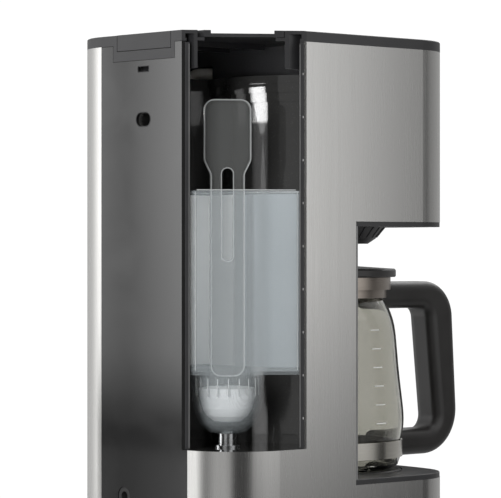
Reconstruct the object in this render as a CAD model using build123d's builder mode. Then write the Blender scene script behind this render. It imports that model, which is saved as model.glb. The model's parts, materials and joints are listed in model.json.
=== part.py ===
"""Drip coffee maker with an open corner water bay, a filter wand and a glass carafe.

Millimetres, +Z up, front towards -Y. The origin is on the table, under the middle of the
body. Each piece is a solid of its own and is written to parts/ under its own name.
"""

import os
from math import asin, degrees, hypot

from build123d import *

# ---------------------------------------------------------------- driving dimensions
# body, seen from above: flat sides and back, a bowed front and four equal corner curves
body_width = 195.0
body_height = 384.0
rear_y = 121.0
front_y = -131.0
corner_radius = 48.0
bow_radius = 273.0
sheet = 1.0                # thickness of the steel wrap
wall = 2.2                 # thickness of moulded covers
fit = 0.3                  # gap between neighbouring covers

half_width = body_width / 2
corner_x = half_width - corner_radius
rear_corner_y = rear_y - corner_radius
bow_y = front_y + bow_radius                       # centre of the bow
front_corner_y = bow_y - ((bow_radius - corner_radius) ** 2 - corner_x ** 2) ** 0.5
bow_angle = degrees(asin(corner_x / (bow_radius - corner_radius)))
ahead = front_y - 10.0                              # clear of the front

# heights
foot_height = 4.0
steel_bottom = 9.0
base_top = 45.5            # top of the steel round the base
deck_top = 49.5
bay_ceiling = 240.0        # underside of the head
head_bottom = 243.6        # bottom of the steel round the head
rim_bottom = 376.0
opening_floor = 75.3       # the corner opening starts here and runs out of the top

# column and carafe recess
column_front = -5.4
carafe_y = -60.0           # carafe, plate, nose and basket share this upright axis
recess_radius = 75.0

# corner opening: a flat chord across the rear corner
chord_rear = Vector(-43.2, rear_y)
chord_side = Vector(-half_width, 46.0)
chord_length = (chord_rear - chord_side).length
chord_along = (chord_side - chord_rear).normalized()
chord_out = Vector(chord_along.Y, -chord_along.X)

# dry wall round the water bay
bay_left = -94.3
bay_right = 40.0
bay_front = 4.5
bay_rear = 115.8
bay_bulge = 86.5           # the bay's front wall wraps the back of the carafe recess
bay_top = 355.0
step_levels = (335.0, 342.0, 349.0)
step_depth = 1.5

# water tank, its sump and the filter wand that stands in it
tank_bottom = 130.0
tank_top = 266.0
tank_wall = 2.4
tank_gap = 2.0
wand_x = -39.0
wand_y = 72.0
sump_radius = 27.0
sump_bottom = 85.0
cup_radius = 23.6
outlet_radius = 6.75

# top, lid and its hinge
lid_axis_y = 114.5
lid_axis_z = 378.5
lid_pin_radius = 1.6
running = 0.05             # radial clearance of a pin in its bore
hinge_half = 30.6
cheek_half = 35.35
lid_rear = 107.5
lid_front = 1.3

# swing-out basket
door_half = 76.0
door_top = 349.5
door_bottom = 240.6
door_pin_x = -71.0
door_pin_y = -114.7
door_pin_radius = 1.5
hinge_edge = -67.0         # the head's floor reaches this far under the door's hinge
holder_radius = 55.0
holder_top = 326.0
chassis_z = 352.0
chassis_thickness = 3.0

# handle
handle_width = 28.0

# controls on the front of the base
panel_half = 52.0
panel_low = 13.5
panel_high = 40.5
button_radius = 4.0
power_radius = 5.5
display_half = 19.0
display_high = 8.0


# ---------------------------------------------------------------- shared outlines
def draw_plan(inset, mode=Mode.ADD):
    """Plan of the body, drawn a given distance inside its skin."""
    x = half_width - inset
    y = rear_y - inset
    radius = corner_radius - inset
    turn = 90 - bow_angle
    with BuildLine() as outline:
        Line((-corner_x, y), (corner_x, y))
        CenterArc((corner_x, rear_corner_y), radius, 90, -90)
        Line((x, rear_corner_y), (x, front_corner_y))
        CenterArc((corner_x, front_corner_y), radius, 0, -turn)
        CenterArc((0, bow_y), bow_radius - inset, bow_angle - 90, -2 * bow_angle)
        CenterArc((-corner_x, front_corner_y), radius, -90 - bow_angle, -turn)
        Line((-x, front_corner_y), (-x, rear_corner_y))
        CenterArc((-corner_x, rear_corner_y), radius, 180, -90)
    make_face(outline.edges(), mode=mode)


def draw_front_strip(outer, inner, low_x, high_x):
    """Plan of a strip that follows the bowed front between two insets and two x values."""
    draw_plan(outer)
    draw_plan(inner, mode=Mode.SUBTRACT)
    draw_box(low_x, high_x, ahead, -100.0, mode=Mode.INTERSECT)


def front_at(x, inset=0.0):
    """Where the bowed front stands at a given x."""
    return bow_y - ((bow_radius - inset) ** 2 - x ** 2) ** 0.5


def draw_box(x0, x1, y0, y1, mode=Mode.ADD):
    """Rectangle between two x values and two y values."""
    with Locations(((x0 + x1) / 2, (y0 + y1) / 2)):
        Rectangle(x1 - x0, y1 - y0, mode=mode)


def draw_disc(x, y, radius, mode=Mode.ADD):
    """Circle about a point."""
    with Locations((x, y)):
        Circle(radius, mode=mode)


def draw_bay(inset, mode=Mode.ADD):
    """Plan of the water bay, drawn a given distance inside its wall."""
    draw_box(bay_left + inset, bay_right - inset, bay_front + inset, bay_rear - inset, mode=mode)


def draw_wedge(inset=0.0, mode=Mode.ADD):
    """Everything outside the chord of the corner opening, moved inwards by inset."""
    base = chord_rear - chord_out * inset
    near = base - chord_along * chord_length
    far = base + chord_along * chord_length * 2
    with BuildLine() as outline:
        Polyline(near, far, far + chord_out * 150, near + chord_out * 150, close=True)
    make_face(outline.edges(), mode=mode)


def cut_corner(z0=opening_floor, inset=0.0):
    """Take the corner opening out of the part being built."""
    with BuildSketch(Plane.XY.offset(z0)) as outline:
        draw_wedge(inset)
    extrude(outline.sketch, amount=body_height, mode=Mode.SUBTRACT)


def cut_box(x0, x1, y0, y1, z0, z1):
    """Take a block out of the part being built."""
    with BuildSketch(Plane.XY.offset(z0)) as outline:
        draw_box(x0, x1, y0, y1)
    extrude(outline.sketch, amount=z1 - z0, mode=Mode.SUBTRACT)


def add_box(x0, x1, y0, y1, z0, z1):
    """Add a block to the part being built."""
    with BuildSketch(Plane.XY.offset(z0)) as outline:
        draw_box(x0, x1, y0, y1)
    extrude(outline.sketch, amount=z1 - z0)


def add_tube(x, y, z0, z1, outer, inner=0.0):
    """Add an upright round post, or a tube when it has an inner radius."""
    with BuildSketch(Plane.XY.offset(z0)) as outline:
        draw_disc(x, y, outer)
        if inner:
            draw_disc(x, y, inner, mode=Mode.SUBTRACT)
    extrude(outline.sketch, amount=z1 - z0)


def cut_tube(x, y, z0, z1, radius):
    """Bore an upright round hole."""
    with BuildSketch(Plane.XY.offset(z0)) as outline:
        draw_disc(x, y, radius)
    extrude(outline.sketch, amount=z1 - z0, mode=Mode.SUBTRACT)


def turned(x, y, points, mode=Mode.ADD):
    """Turn an outline of (radius, z) points about the upright axis through (x, y)."""
    with BuildLine() as outline:
        Polyline(*points, close=True)
    with BuildSketch(Plane(origin=(x, y, 0), x_dir=(1, 0, 0), z_dir=(0, -1, 0))) as profile:
        make_face(outline.edges())
    revolve(profile.sketch, axis=Axis((x, y, 0), (0, 0, 1)), mode=mode)


def finish(builder, label):
    """Name a piece and write it out."""
    builder.part.label = label
    export_step(builder.part, "parts/" + label + ".step")


os.makedirs("parts", exist_ok=True)

# ================================================================ base
with BuildPart() as base_pan:
    with BuildSketch(Plane.XY.offset(foot_height)):
        draw_plan(4.0)
    extrude(amount=steel_bottom + 1.0 - foot_height)
    with BuildSketch(Plane.XY.offset(steel_bottom + 1.0)):
        draw_plan(sheet + 0.1)
    extrude(amount=10.0)
    with BuildSketch(Plane.XY.offset(foot_height + 2.5)):
        draw_plan(4.0 + wall)
    extrude(amount=30.0, mode=Mode.SUBTRACT)
    # room for the control panel and for the rear panel
    cut_box(-panel_half - 3, panel_half + 3, ahead, front_at(panel_half) + 10, steel_bottom + 1.0, 30.0)
    cut_box(-corner_x, corner_x, rear_y - 2.9, rear_y, steel_bottom - 2.2, 30.0)
    screw_posts = ((-70, -92), (70, -92), (-62, 88), (62, 88))
    for post in screw_posts:
        add_tube(post[0], post[1], foot_height, 20.0, 5.0)
        cut_tube(post[0], post[1], 0.0, 30.0, 1.7)
        cut_tube(post[0], post[1], 0.0, foot_height + 1.8, 3.4)
    with BuildSketch(Plane.XY.offset(foot_height)):
        with Locations((0, -60)):
            with GridLocations(12.0, 0.0, 6, 1):
                SlotOverall(40.0, 4.0, rotation=90)
    extrude(amount=2.5, mode=Mode.SUBTRACT)
finish(base_pan, "base_pan")

with BuildPart() as base_screws:
    for post in screw_posts:
        add_tube(post[0], post[1], foot_height + 0.2, foot_height + 1.8, 3.2)
        add_tube(post[0], post[1], foot_height + 1.8, 18.0, 1.65)
        cut_box(post[0] - 2.4, post[0] + 2.4, post[1] - 0.4, post[1] + 0.4, 0.0, foot_height + 0.9)
finish(base_screws, "base_screws")

with BuildPart() as feet:
    for x, y in ((-62, -84), (62, -84), (-56, 74), (56, 74), (0, 0)):
        add_tube(x, y, 0.0, foot_height, 9.0)
    fillet(feet.edges().filter_by(GeomType.CIRCLE).group_by(Axis.Z)[0], radius=1.2)
finish(feet, "feet")

# ================================================================ steel wrap
with BuildPart() as steel_casing:
    with BuildSketch(Plane.XY.offset(steel_bottom)):
        draw_plan(0.0)
        draw_plan(sheet, mode=Mode.SUBTRACT)
    extrude(amount=rim_bottom - steel_bottom)
    # the flat back between the two rear curves belongs to the rear panel

    cut_box(-corner_x, corner_x, rear_y - 10, rear_y + 10, 0.0, body_height)
    # the carafe bay, open to the front
    cut_box(-half_width - 5, half_width + 5, ahead, column_front, base_top, head_bottom)
    # the doorway of the swing-out basket
    cut_box(-door_half - 0.8, door_half + 0.8, ahead, -100.0, base_top, door_top + 0.8)
    # the window of the control panel
    cut_box(-panel_half + 1.5, panel_half - 1.5, ahead, -100.0, panel_low + 1.0, panel_high - 1.0)
    cut_corner()
finish(steel_casing, "steel_casing")

# ================================================================ rear panel
slot_z = 357.2
overflow_z = 319.6
cord_x = 23.0
cord_z = 37.0
with BuildPart() as rear_panel:
    add_box(-corner_x + fit, corner_x - fit, rear_y - 2.5, rear_y, 7.0, rim_bottom - fit)
    cut_box(-cheek_half - fit, cheek_half + fit, rear_y - 5, rear_y + 5, 364.0 - fit, body_height)
    with BuildSketch(Plane.XZ.offset(-rear_y - 5)):
        with Locations((0.4, slot_z)):
            Rectangle(13.0, 4.9)
        with Locations((0.5, overflow_z)):
            SlotOverall(16.8, 11.3)
        with Locations((cord_x, cord_z)):
            Circle(7.0)
    extrude(amount=12.0, mode=Mode.SUBTRACT)
    cut_corner()
finish(rear_panel, "rear_panel")

with BuildPart() as cord_gland:
    with BuildSketch(Plane.XZ.offset(-rear_y + 0.6)):
        with Locations((cord_x, cord_z)):
            Circle(6.8)
            Circle(3.6, mode=Mode.SUBTRACT)
    extrude(amount=9.0)
    with BuildSketch(Plane.XZ.offset(-rear_y + 2.7)):
        with Locations((cord_x, cord_z)):
            Circle(8.8)
            Circle(3.6, mode=Mode.SUBTRACT)
    extrude(amount=2.0)
finish(cord_gland, "cord_gland")

# ================================================================ water bay
floor_z = opening_floor - 3.4
floor_top = opening_floor - 0.4
with BuildPart() as bay_liner:
    with BuildSketch(Plane.XY.offset(floor_z)):
        draw_bay(-wall + 0.1)
        draw_disc(0, carafe_y, bay_bulge - wall, mode=Mode.SUBTRACT)
        draw_plan(sheet + 0.1, mode=Mode.INTERSECT)
    extrude(amount=bay_top - floor_z)
    with BuildSketch(Plane.XY.offset(floor_top)):
        draw_bay(0.0)
        draw_disc(0, carafe_y, bay_bulge, mode=Mode.SUBTRACT)
    extrude(amount=bay_top, mode=Mode.SUBTRACT)
    # three shallow steps near the top of the front wall, each standing out further
    for count, level in enumerate(step_levels, start=1):
        with BuildSketch(Plane.XY.offset(level)):
            draw_bay(0.0)
            draw_disc(0, carafe_y, bay_bulge, mode=Mode.SUBTRACT)
            draw_disc(0, carafe_y, bay_bulge + step_depth * count, mode=Mode.INTERSECT)
        extrude(amount=bay_top - level)
    # ledge that the tank stands on, along the inner wall
    add_box(bay_right - 6.0, bay_right + 1.0, 45.0, 100.0, tank_bottom - 4.0, tank_bottom)
    cut_corner()
    cut_tube(wand_x, wand_y, 0.0, 100.0, outlet_radius + 0.4)
    # overflow hole, in line with the one in the rear panel
    with BuildSketch(Plane.XZ.offset(-rear_y)):
        with Locations((0.5, overflow_z)):
            SlotOverall(14.8, 9.3)
    extrude(amount=8.0, mode=Mode.SUBTRACT)
finish(bay_liner, "bay_liner")

tray_z = 352.8
with BuildPart() as fill_tray:
    add_box(bay_right + wall, half_width - sheet - 0.2, 13.0, rear_y - 2.8, tray_z, tray_z + 2.4)
    with BuildSketch(Plane.XY.offset(tray_z)):
        draw_plan(sheet + 2.2)
    extrude(amount=10.0, mode=Mode.INTERSECT)
finish(fill_tray, "fill_tray")


def draw_tank(inset):
    """Plan of the tank with its flat face towards the opening and rounded upright corners."""
    draw_bay(tank_gap + inset)
    draw_disc(0, carafe_y, bay_bulge + tank_gap + inset, mode=Mode.SUBTRACT)
    draw_wedge(3.0 + inset, mode=Mode.SUBTRACT)


with BuildPart() as water_tank:
    with BuildSketch(Plane.XY.offset(tank_bottom)) as tank_plan:
        draw_tank(0.0)
        fillet(tank_plan.vertices().group_by(Axis.Y)[-1], radius=6.0)
    extrude(amount=tank_top - tank_bottom)
    turned(wand_x, wand_y, ((0, 140), (sump_radius, 140), (sump_radius, 112), (25, 101), (20.5, 92),
                            (14, 86.5), (8, sump_bottom), (0, sump_bottom)))
    with BuildSketch(Plane.XY.offset(tank_bottom + tank_wall)) as tank_inside:
        draw_tank(tank_wall)
        fillet(tank_inside.vertices().group_by(Axis.Y)[-1], radius=4.0)
    extrude(amount=tank_top, mode=Mode.SUBTRACT)
    turned(wand_x, wand_y, ((0, 150), (sump_radius - 1.8, 150), (sump_radius - 1.8, 112.5), (23.4, 102),
                            (19.2, 93.8), (13.2, 88.6), (4.5, 86.8), (4.5, 80), (0, 80)), mode=Mode.SUBTRACT)
finish(water_tank, "water_tank")

with BuildPart() as outlet_tube:
    add_tube(wand_x, wand_y, 64.0, sump_bottom, outlet_radius, 4.5)
    add_tube(wand_x, wand_y, floor_top, floor_top + 1.6, 9.5, 4.5)
finish(outlet_tube, "outlet_tube")

with BuildPart() as tank_seal:
    add_tube(wand_x, wand_y, floor_z - 2.6, floor_z, 10.5, outlet_radius)
finish(tank_seal, "tank_seal")

# ================================================================ filter wand
wand_plane = Plane(origin=(wand_x, wand_y, 0), x_dir=chord_along, z_dir=chord_out)
slot_top = 283.0
slot_low = 214.0


def draw_wand(inset, foot):
    """Front view of the wand: a rounded paddle that narrows to a stem."""
    head = 18.0 - inset
    stem = 13.0 - inset
    with BuildLine() as outline:
        FilletPolyline((-stem, foot), (stem, foot), (stem, 279), (head, 289), (head, 335 - inset),
                       (-head, 335 - inset), (-head, 289), (-stem, 279),
                       radius=(0, 0, 4, 4, 9 - inset / 2, 9 - inset / 2, 4, 4), close=True)
    make_face(outline.edges())


with BuildPart() as filter_wand:
    with BuildSketch(wand_plane):
        draw_wand(0.0, 127.0)
    extrude(amount=2.6, both=True)
    # a raised rim on both faces round a thinner web
    for side in (-1, 1):
        with BuildSketch(wand_plane.offset(side * 0.9)):
            draw_wand(1.8, 133.0)
        extrude(amount=side * 5.0, mode=Mode.SUBTRACT)
    with BuildSketch(wand_plane):
        with Locations((0, (slot_top + slot_low) / 2)):
            SlotOverall(slot_top - slot_low, 8.0, rotation=90)
    extrude(amount=6.0, both=True, mode=Mode.SUBTRACT)
finish(filter_wand, "filter_wand")

with BuildPart() as cup_cap:
    add_tube(wand_x, wand_y, 121.0, 127.0, cup_radius - 1.0)
    for angle in (45, 135, 225, 315):
        place = wand_plane.origin + (chord_along * 13).rotate(Axis.Z, angle)
        cut_tube(place.X, place.Y, 100.0, 150.0, 5.5)
finish(cup_cap, "cup_cap")

with BuildPart() as filter_cup:
    turned(wand_x, wand_y, ((0, 89.4), (9, 89.8), (14, 92.4), (18.4, 96.4), (21.6, 103), (cup_radius, 113),
                            (cup_radius, 121), (cup_radius - 1.6, 121), (cup_radius - 1.6, 113.2),
                            (20, 103.6), (17.2, 97.6), (13.2, 93.8), (8.6, 91.6), (0, 91.2)))
    for angle in range(0, 360, 60):
        place = wand_plane.origin + (chord_along * 9).rotate(Axis.Z, angle)
        cut_tube(place.X, place.Y, 80.0, 95.0, 2.2)
finish(filter_cup, "filter_cup")

with BuildPart() as filter_pod:
    turned(wand_x, wand_y, ((0, 93.6), (10, 94.4), (15.5, 98.4), (18.6, 104), (20.6, 112), (21.2, 119),
                            (14, 120.4), (0, 120.8)))
finish(filter_pod, "filter_pod")

# ================================================================ column front
with BuildPart() as recess_panel:
    with BuildSketch(Plane.XY.offset(deck_top)):
        draw_box(-half_width + 0.2, half_width - 0.2, column_front - 2.1, column_front - 0.05)
        draw_disc(0, carafe_y, recess_radius + wall)
        draw_box(-half_width, half_width, ahead, column_front - 2.1, mode=Mode.SUBTRACT)
        draw_disc(0, carafe_y, recess_radius, mode=Mode.SUBTRACT)
    extrude(amount=bay_ceiling - deck_top)
finish(recess_panel, "recess_panel")

# ================================================================ base deck and warming plate
deck_bore = 66.0
with BuildPart() as base_deck:
    with BuildSketch(Plane.XY.offset(base_top)):
        draw_plan(fit)
        draw_box(-half_width, half_width, ahead, column_front - 0.05, mode=Mode.INTERSECT)
        draw_disc(0, carafe_y, recess_radius + wall)
        draw_disc(0, carafe_y, deck_bore, mode=Mode.SUBTRACT)
        draw_plan(fit, mode=Mode.INTERSECT)
    extrude(amount=deck_top - base_top)
    fillet(base_deck.edges().filter_by(GeomType.CIRCLE).group_by(Axis.Z)[-1].sort_by(SortBy.RADIUS)[0],
           radius=0.8)
finish(base_deck, "base_deck")

plate_top = 50.0
with BuildPart() as warming_plate:
    turned(0, carafe_y, ((0, 48.2), (63.0, 48.2), (63.0, 45.2), (64.6, 45.2), (65.2, plate_top - 0.8),
                         (64.4, plate_top), (60.0, plate_top - 0.3), (0, plate_top - 0.3)))
finish(warming_plate, "warming_plate")

with BuildPart() as plate_seal:
    add_tube(0, carafe_y, 42.8, 45.2, 68.5, 61.0)
finish(plate_seal, "plate_seal")

# ================================================================ heating
heater_low = 35.0
heater_high = 48.2
end_x = 17.0
hose_z = 38.0
hose_radius = 4.5
stub_y = -8.0
with BuildPart() as heater_ring:
    add_tube(0, carafe_y, heater_low, heater_high, 52.0, 34.0)
    cut_box(-9.0, 9.0, -40.0, 0.0, 0.0, 60.0)
    with BuildSketch(Plane.XZ.offset(-stub_y)):
        with Locations((-end_x, hose_z), (end_x, hose_z)):
            Circle(hose_radius)
    extrude(amount=16.0)
finish(heater_ring, "heater_ring")

with BuildPart() as heater_bracket:
    add_box(-60.0, 60.0, carafe_y - 8, carafe_y + 8, 32.6, 35.0)
    add_box(-60.0, -57.6, carafe_y - 8, carafe_y + 8, 6.5, 32.6)
    add_box(57.6, 60.0, carafe_y - 8, carafe_y + 8, 6.5, 32.6)
    cut_tube(0, carafe_y, 30.0, 40.0, 2.0)
finish(heater_bracket, "heater_bracket")

with BuildPart() as thermostat:
    add_tube(0, carafe_y + 14, 41.0, 48.2, 9.0)
    add_tube(0, carafe_y + 14, 36.0, 41.0, 6.5)
    add_box(-9.0, -7.0, carafe_y + 12, carafe_y + 16, 36.0, 41.0)
    add_box(7.0, 9.0, carafe_y + 12, carafe_y + 16, 36.0, 41.0)
    fillet(thermostat.edges().filter_by(GeomType.CIRCLE).group_by(Axis.Z)[-1], radius=0.6)
finish(thermostat, "thermostat")

with BuildPart() as thermal_fuses:
    for x in (-22.0, 22.0):
        with BuildSketch(Plane.XZ.offset(-carafe_y - 8)):
            with Locations((x, 42.0)):
                Circle(2.6)
        extrude(amount=16.0)
finish(thermal_fuses, "thermal_fuses")

with BuildPart() as check_valve:
    add_tube(wand_x, wand_y, 46.0, 64.0, 8.0, 4.0)
    add_tube(wand_x, wand_y, 52.0, 56.0, 9.4, 4.0)
finish(check_valve, "check_valve")


def sweep_hose(points, bend, outer, inner):
    """Add a hose along straight runs joined by round bends."""
    with BuildLine() as path:
        FilletPolyline(*points, radius=bend)
    with BuildSketch(Plane(origin=path.line @ 0, z_dir=path.line % 0)) as section:
        Circle(outer)
        Circle(inner, mode=Mode.SUBTRACT)
    sweep(section.sketch, path=path.line)


with BuildPart() as inlet_hose:
    sweep_hose(((wand_x, wand_y, 46.0), (wand_x, wand_y, 22.0), (wand_x, 24.0, 22.0),
                (wand_x, 24.0, hose_z), (wand_x, 8.0, hose_z), (-end_x, 8.0, hose_z),
                (-end_x, stub_y, hose_z)), 7.0, hose_radius, 3.0)
finish(inlet_hose, "inlet_hose")

riser_x = 80.0
riser_y = 5.0
riser_bend = 362.0
with BuildPart() as outlet_hose:
    sweep_hose(((end_x, stub_y, hose_z), (end_x, riser_y, hose_z), (riser_x, riser_y, hose_z),
                (riser_x, riser_y, 60.0)), 8.0, hose_radius, 3.0)
finish(outlet_hose, "outlet_hose")

with BuildPart() as riser_tube:
    sweep_hose(((riser_x, riser_y, 60.0), (riser_x, riser_y, riser_bend), (0, carafe_y, riser_bend),
                (0, carafe_y, 352.0)), 8.0, hose_radius, 3.0)
finish(riser_tube, "riser_tube")

# ================================================================ head
with BuildPart() as head_floor:
    with BuildSketch(Plane.XY.offset(bay_ceiling)):
        draw_plan(fit)
        draw_box(-half_width, half_width, ahead, column_front - 0.05, mode=Mode.INTERSECT)
        draw_disc(0, carafe_y, recess_radius + wall)
        draw_disc(0, carafe_y, 61.5, mode=Mode.SUBTRACT)
        draw_box(hinge_edge, door_half + 1.0, ahead, -50.0, mode=Mode.SUBTRACT)
        draw_plan(fit, mode=Mode.INTERSECT)
    extrude(amount=head_bottom - bay_ceiling)
    cut_tube(door_pin_x, door_pin_y, 200.0, 300.0, door_pin_radius)
finish(head_floor, "head_floor")

with BuildPart() as head_chassis:
    with BuildSketch(Plane.XY.offset(chassis_z)):
        draw_box(-half_width, half_width, ahead, 1.0)
        draw_box(bay_right + 6.0, half_width, 0.0, 12.5)
        draw_plan(sheet + 0.1, mode=Mode.INTERSECT)
    extrude(amount=chassis_thickness)
    cut_tube(0, carafe_y, 340.0, 370.0, hose_radius + 0.5)
    cut_tube(riser_x, riser_y, 340.0, 370.0, hose_radius + 0.5)
    cut_tube(door_pin_x, door_pin_y, 340.0, 370.0, door_pin_radius)
finish(head_chassis, "head_chassis")

with BuildPart() as shower_head:
    add_tube(0, carafe_y, 343.0, chassis_z, 38.0)
    cut_tube(0, carafe_y, 344.6, 350.4, 35.6)
    cut_tube(0, carafe_y, 345.0, 360.0, 4.4)
    with BuildSketch(Plane.XY.offset(340.0)):
        with Locations((0, carafe_y)):
            with PolarLocations(26.0, 12):
                Circle(1.4)
            with PolarLocations(14.0, 6):
                Circle(1.4)
    extrude(amount=6.0, mode=Mode.SUBTRACT)
finish(shower_head, "shower_head")

# ================================================================ top
rim_width = 9.5
with BuildPart() as top_rim:
    # a folded edge: two upright walls under one top, open below
    with BuildSketch(Plane.XY.offset(rim_bottom)):
        draw_plan(0.0)
        draw_plan(rim_width, mode=Mode.SUBTRACT)
    extrude(amount=body_height - rim_bottom)
    with BuildSketch(Plane.XY.offset(rim_bottom)):
        draw_plan(wall)
        draw_plan(rim_width - 2.0, mode=Mode.SUBTRACT)
    extrude(amount=5.4, mode=Mode.SUBTRACT)
    # a tongue inside the steel and an inner skirt
    with BuildSketch(Plane.XY.offset(368.0)):
        draw_plan(sheet + 0.1)
        draw_plan(sheet + 1.9, mode=Mode.SUBTRACT)
    extrude(amount=10.0)
    with BuildSketch(Plane.XY.offset(356.0)):
        draw_plan(rim_width - 2.0)
        draw_plan(rim_width, mode=Mode.SUBTRACT)
    extrude(amount=22.0)
    cut_box(-corner_x - 0.1, corner_x + 0.1, rear_y - 4.0, rear_y + 5, 360.0, rim_bottom)
    # ledge under the lid
    with BuildSketch(Plane.XY.offset(376.2)):
        draw_plan(rim_width - 2.0)
        draw_plan(rim_width + 4.0, mode=Mode.SUBTRACT)
    extrude(amount=2.4)
    # hinge block at the back, with its notch
    add_box(-cheek_half, cheek_half, 108.0, rear_y, 364.0, body_height)
    cut_box(-hinge_half - 0.5, hinge_half + 0.5, 100.0, rear_y + 5, lid_axis_z, body_height + 5)
    with BuildSketch(Plane.YZ.offset(-hinge_half - 0.5)):
        with Locations((lid_axis_y, lid_axis_z)):
            Circle(9.6)
    extrude(amount=2 * hinge_half + 1.0, mode=Mode.SUBTRACT)
    with BuildSketch(Plane.YZ.offset(-cheek_half + 1.0)):
        with Locations((lid_axis_y, lid_axis_z)):
            Circle(lid_pin_radius)
    extrude(amount=2 * cheek_half - 2.0, mode=Mode.SUBTRACT)
    cut_corner()
    fillet(top_rim.edges().filter_by(GeomType.LINE).group_by(Axis.Z)[-1].sort_by(Axis.Y)[:1], radius=1.2)
finish(top_rim, "top_rim")

with BuildPart() as top_deck:
    with BuildSketch(Plane.XY.offset(378.8)):
        draw_plan(rim_width + 0.2)
        draw_box(-half_width, half_width, ahead, 0.5, mode=Mode.INTERSECT)
    extrude(amount=3.4)
    with BuildSketch(Plane.XY.offset(380.8)):
        draw_plan(rim_width + 4.0)
        draw_box(-half_width, half_width, ahead, -3.5, mode=Mode.INTERSECT)
    extrude(amount=3.0, mode=Mode.SUBTRACT)
    add_box(-half_width + 14.0, half_width - 14.0, -1.5, 0.5, 356.0, 379.0)
    cut_box(riser_x - 22, riser_x + 6, -3.0, 3.0, 350.0, riser_bend + hose_radius + 1)
finish(top_deck, "top_deck")

lid_low = 379.0
lid_swing_gap = 2.6
lid_plate = 381.6
with BuildPart() as tank_lid:
    with BuildSketch(Plane.XY.offset(lid_low)):
        draw_plan(rim_width + 0.6)
        draw_box(-half_width, half_width, lid_front, lid_rear, mode=Mode.INTERSECT)
    extrude(amount=body_height - lid_low)
    # a wider gap at the rear corner, where the lid moves back as it opens
    with BuildSketch(Plane((0, -lid_swing_gap, lid_low))):
        draw_plan(rim_width + 0.6)
    extrude(amount=body_height - lid_low, mode=Mode.INTERSECT)
    # the dish: the middle lies lower than the edge all round
    with BuildSketch(Plane.XY.offset(lid_plate)):
        draw_plan(rim_width + 4.6)
        draw_box(-half_width, half_width, lid_front + 4.0, lid_rear - 4.0, mode=Mode.INTERSECT)
    extrude(amount=10.0, mode=Mode.SUBTRACT)
    # knuckle
    add_box(-hinge_half, hinge_half, lid_rear - 1, lid_axis_y, lid_low, body_height)
    add_box(-hinge_half, hinge_half, lid_axis_y - 6.5, rear_y, 371.9, body_height)
    # stiffening ribs below the plate
    for x in (-20.0, 20.0, 60.0):
        add_box(x - 1, x + 1, lid_front + 16, lid_rear - 16, 375.0, lid_low)
    # finger scoop at the front edge
    cut_tube(0, lid_front - 6, lid_plate, body_height + 5, 14.0)
    # clearance for the hinge cheeks as the lid turns
    for side in (-1, 1):
        near, far = sorted((side * hinge_half, side * (cheek_half + 0.8)))
        cut_box(near, far, lid_axis_y - 9.5, lid_axis_y + 10, lid_low - 1, body_height + 5)
    with BuildSketch(Plane.YZ.offset(-hinge_half - 1)):
        with Locations((lid_axis_y, lid_axis_z)):
            Circle(lid_pin_radius)
    extrude(amount=2 * hinge_half + 2.0, mode=Mode.SUBTRACT)
    cut_corner()
finish(tank_lid, "tank_lid")

with BuildPart() as lid_hinge_pin:
    with BuildSketch(Plane.YZ.offset(-cheek_half + 1.0)):
        with Locations((lid_axis_y, lid_axis_z)):
            Circle(lid_pin_radius - running)
    extrude(amount=2 * cheek_half - 2.0)
finish(lid_hinge_pin, "lid_hinge_pin")

# ================================================================ swing-out basket
door_skin = 2.4
pull_x = 50.0
pull_z = 262.0
pull_half = 14.0
with BuildPart() as basket_door:
    with BuildSketch(Plane.XY.offset(door_bottom)):
        draw_front_strip(0.0, door_skin, -door_half + 1.5, door_half)
    extrude(amount=door_top - door_bottom)
    add_tube(door_pin_x, door_pin_y, head_bottom + 0.6, door_top, 5.0)
    cut_tube(door_pin_x, door_pin_y, head_bottom, door_top, door_pin_radius + running)
    # notch that lets the hinge side turn above the head's floor
    cut_box(-half_width, hinge_edge + 3.6, ahead, -100.0, 230.0, head_bottom + 0.6)
    # finger pull near the free edge
    cut_box(pull_x - pull_half, pull_x + pull_half, ahead, -110.0, pull_z - 6.0, pull_z + 6.0)
finish(basket_door, "basket_door")

with BuildPart() as door_pull:
    with BuildSketch(Plane.XY.offset(pull_z - 8.0)):
        draw_front_strip(door_skin, 7.4, pull_x - pull_half - 2, pull_x + pull_half + 2)
    extrude(amount=16.0)
    with BuildSketch(Plane.XY.offset(pull_z - 5.8)):
        draw_front_strip(0.2, 3.0, pull_x - pull_half + 0.2, pull_x + pull_half - 0.2)
    extrude(amount=11.6)
    with BuildSketch(Plane.XY.offset(pull_z - 4.4)):
        draw_front_strip(-5.0, 5.6, pull_x - pull_half + 1.6, pull_x + pull_half - 1.6)
    extrude(amount=8.8, mode=Mode.SUBTRACT)
finish(door_pull, "door_pull")

swing_reach = hypot(door_half - 2 - door_pin_x, 5.0)
with BuildPart() as basket_holder:
    with BuildSketch(Plane.XY.offset(bay_ceiling)):
        draw_box(-62.0, door_half - 1.0, ahead, -62.0)
        draw_disc(0, carafe_y, 57.0)
        draw_plan(door_skin + 0.2, mode=Mode.INTERSECT)
        draw_disc(door_pin_x, door_pin_y, swing_reach, mode=Mode.INTERSECT)
    extrude(amount=2.4)
    turned(0, carafe_y, ((0, 227), (39, 227), (45, 231), (53, 241), (holder_radius, 245),
                         (holder_radius, holder_top), (0, holder_top)))
    with BuildSketch(Plane.XY.offset(242.4)):
        draw_box(-30.0, 30.0, ahead, -108.0)
        draw_plan(door_skin, mode=Mode.INTERSECT)
    extrude(amount=78.0)
    turned(0, carafe_y, ((0, 229.4), (37.6, 229.4), (43.4, 233.4), (51, 243.4), (holder_radius - 2.4, 247.5),
                         (holder_radius - 2.4, 330), (0, 330)), mode=Mode.SUBTRACT)
    # guide for the drip stop
    add_tube(0, carafe_y, 227.0, 236.0, 7.0)
    cut_tube(0, carafe_y, 220.0, 240.0, 3.6)
    cut_tube(0, carafe_y, 226.0, 229.0, 6.0)
finish(basket_holder, "basket_holder")

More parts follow.
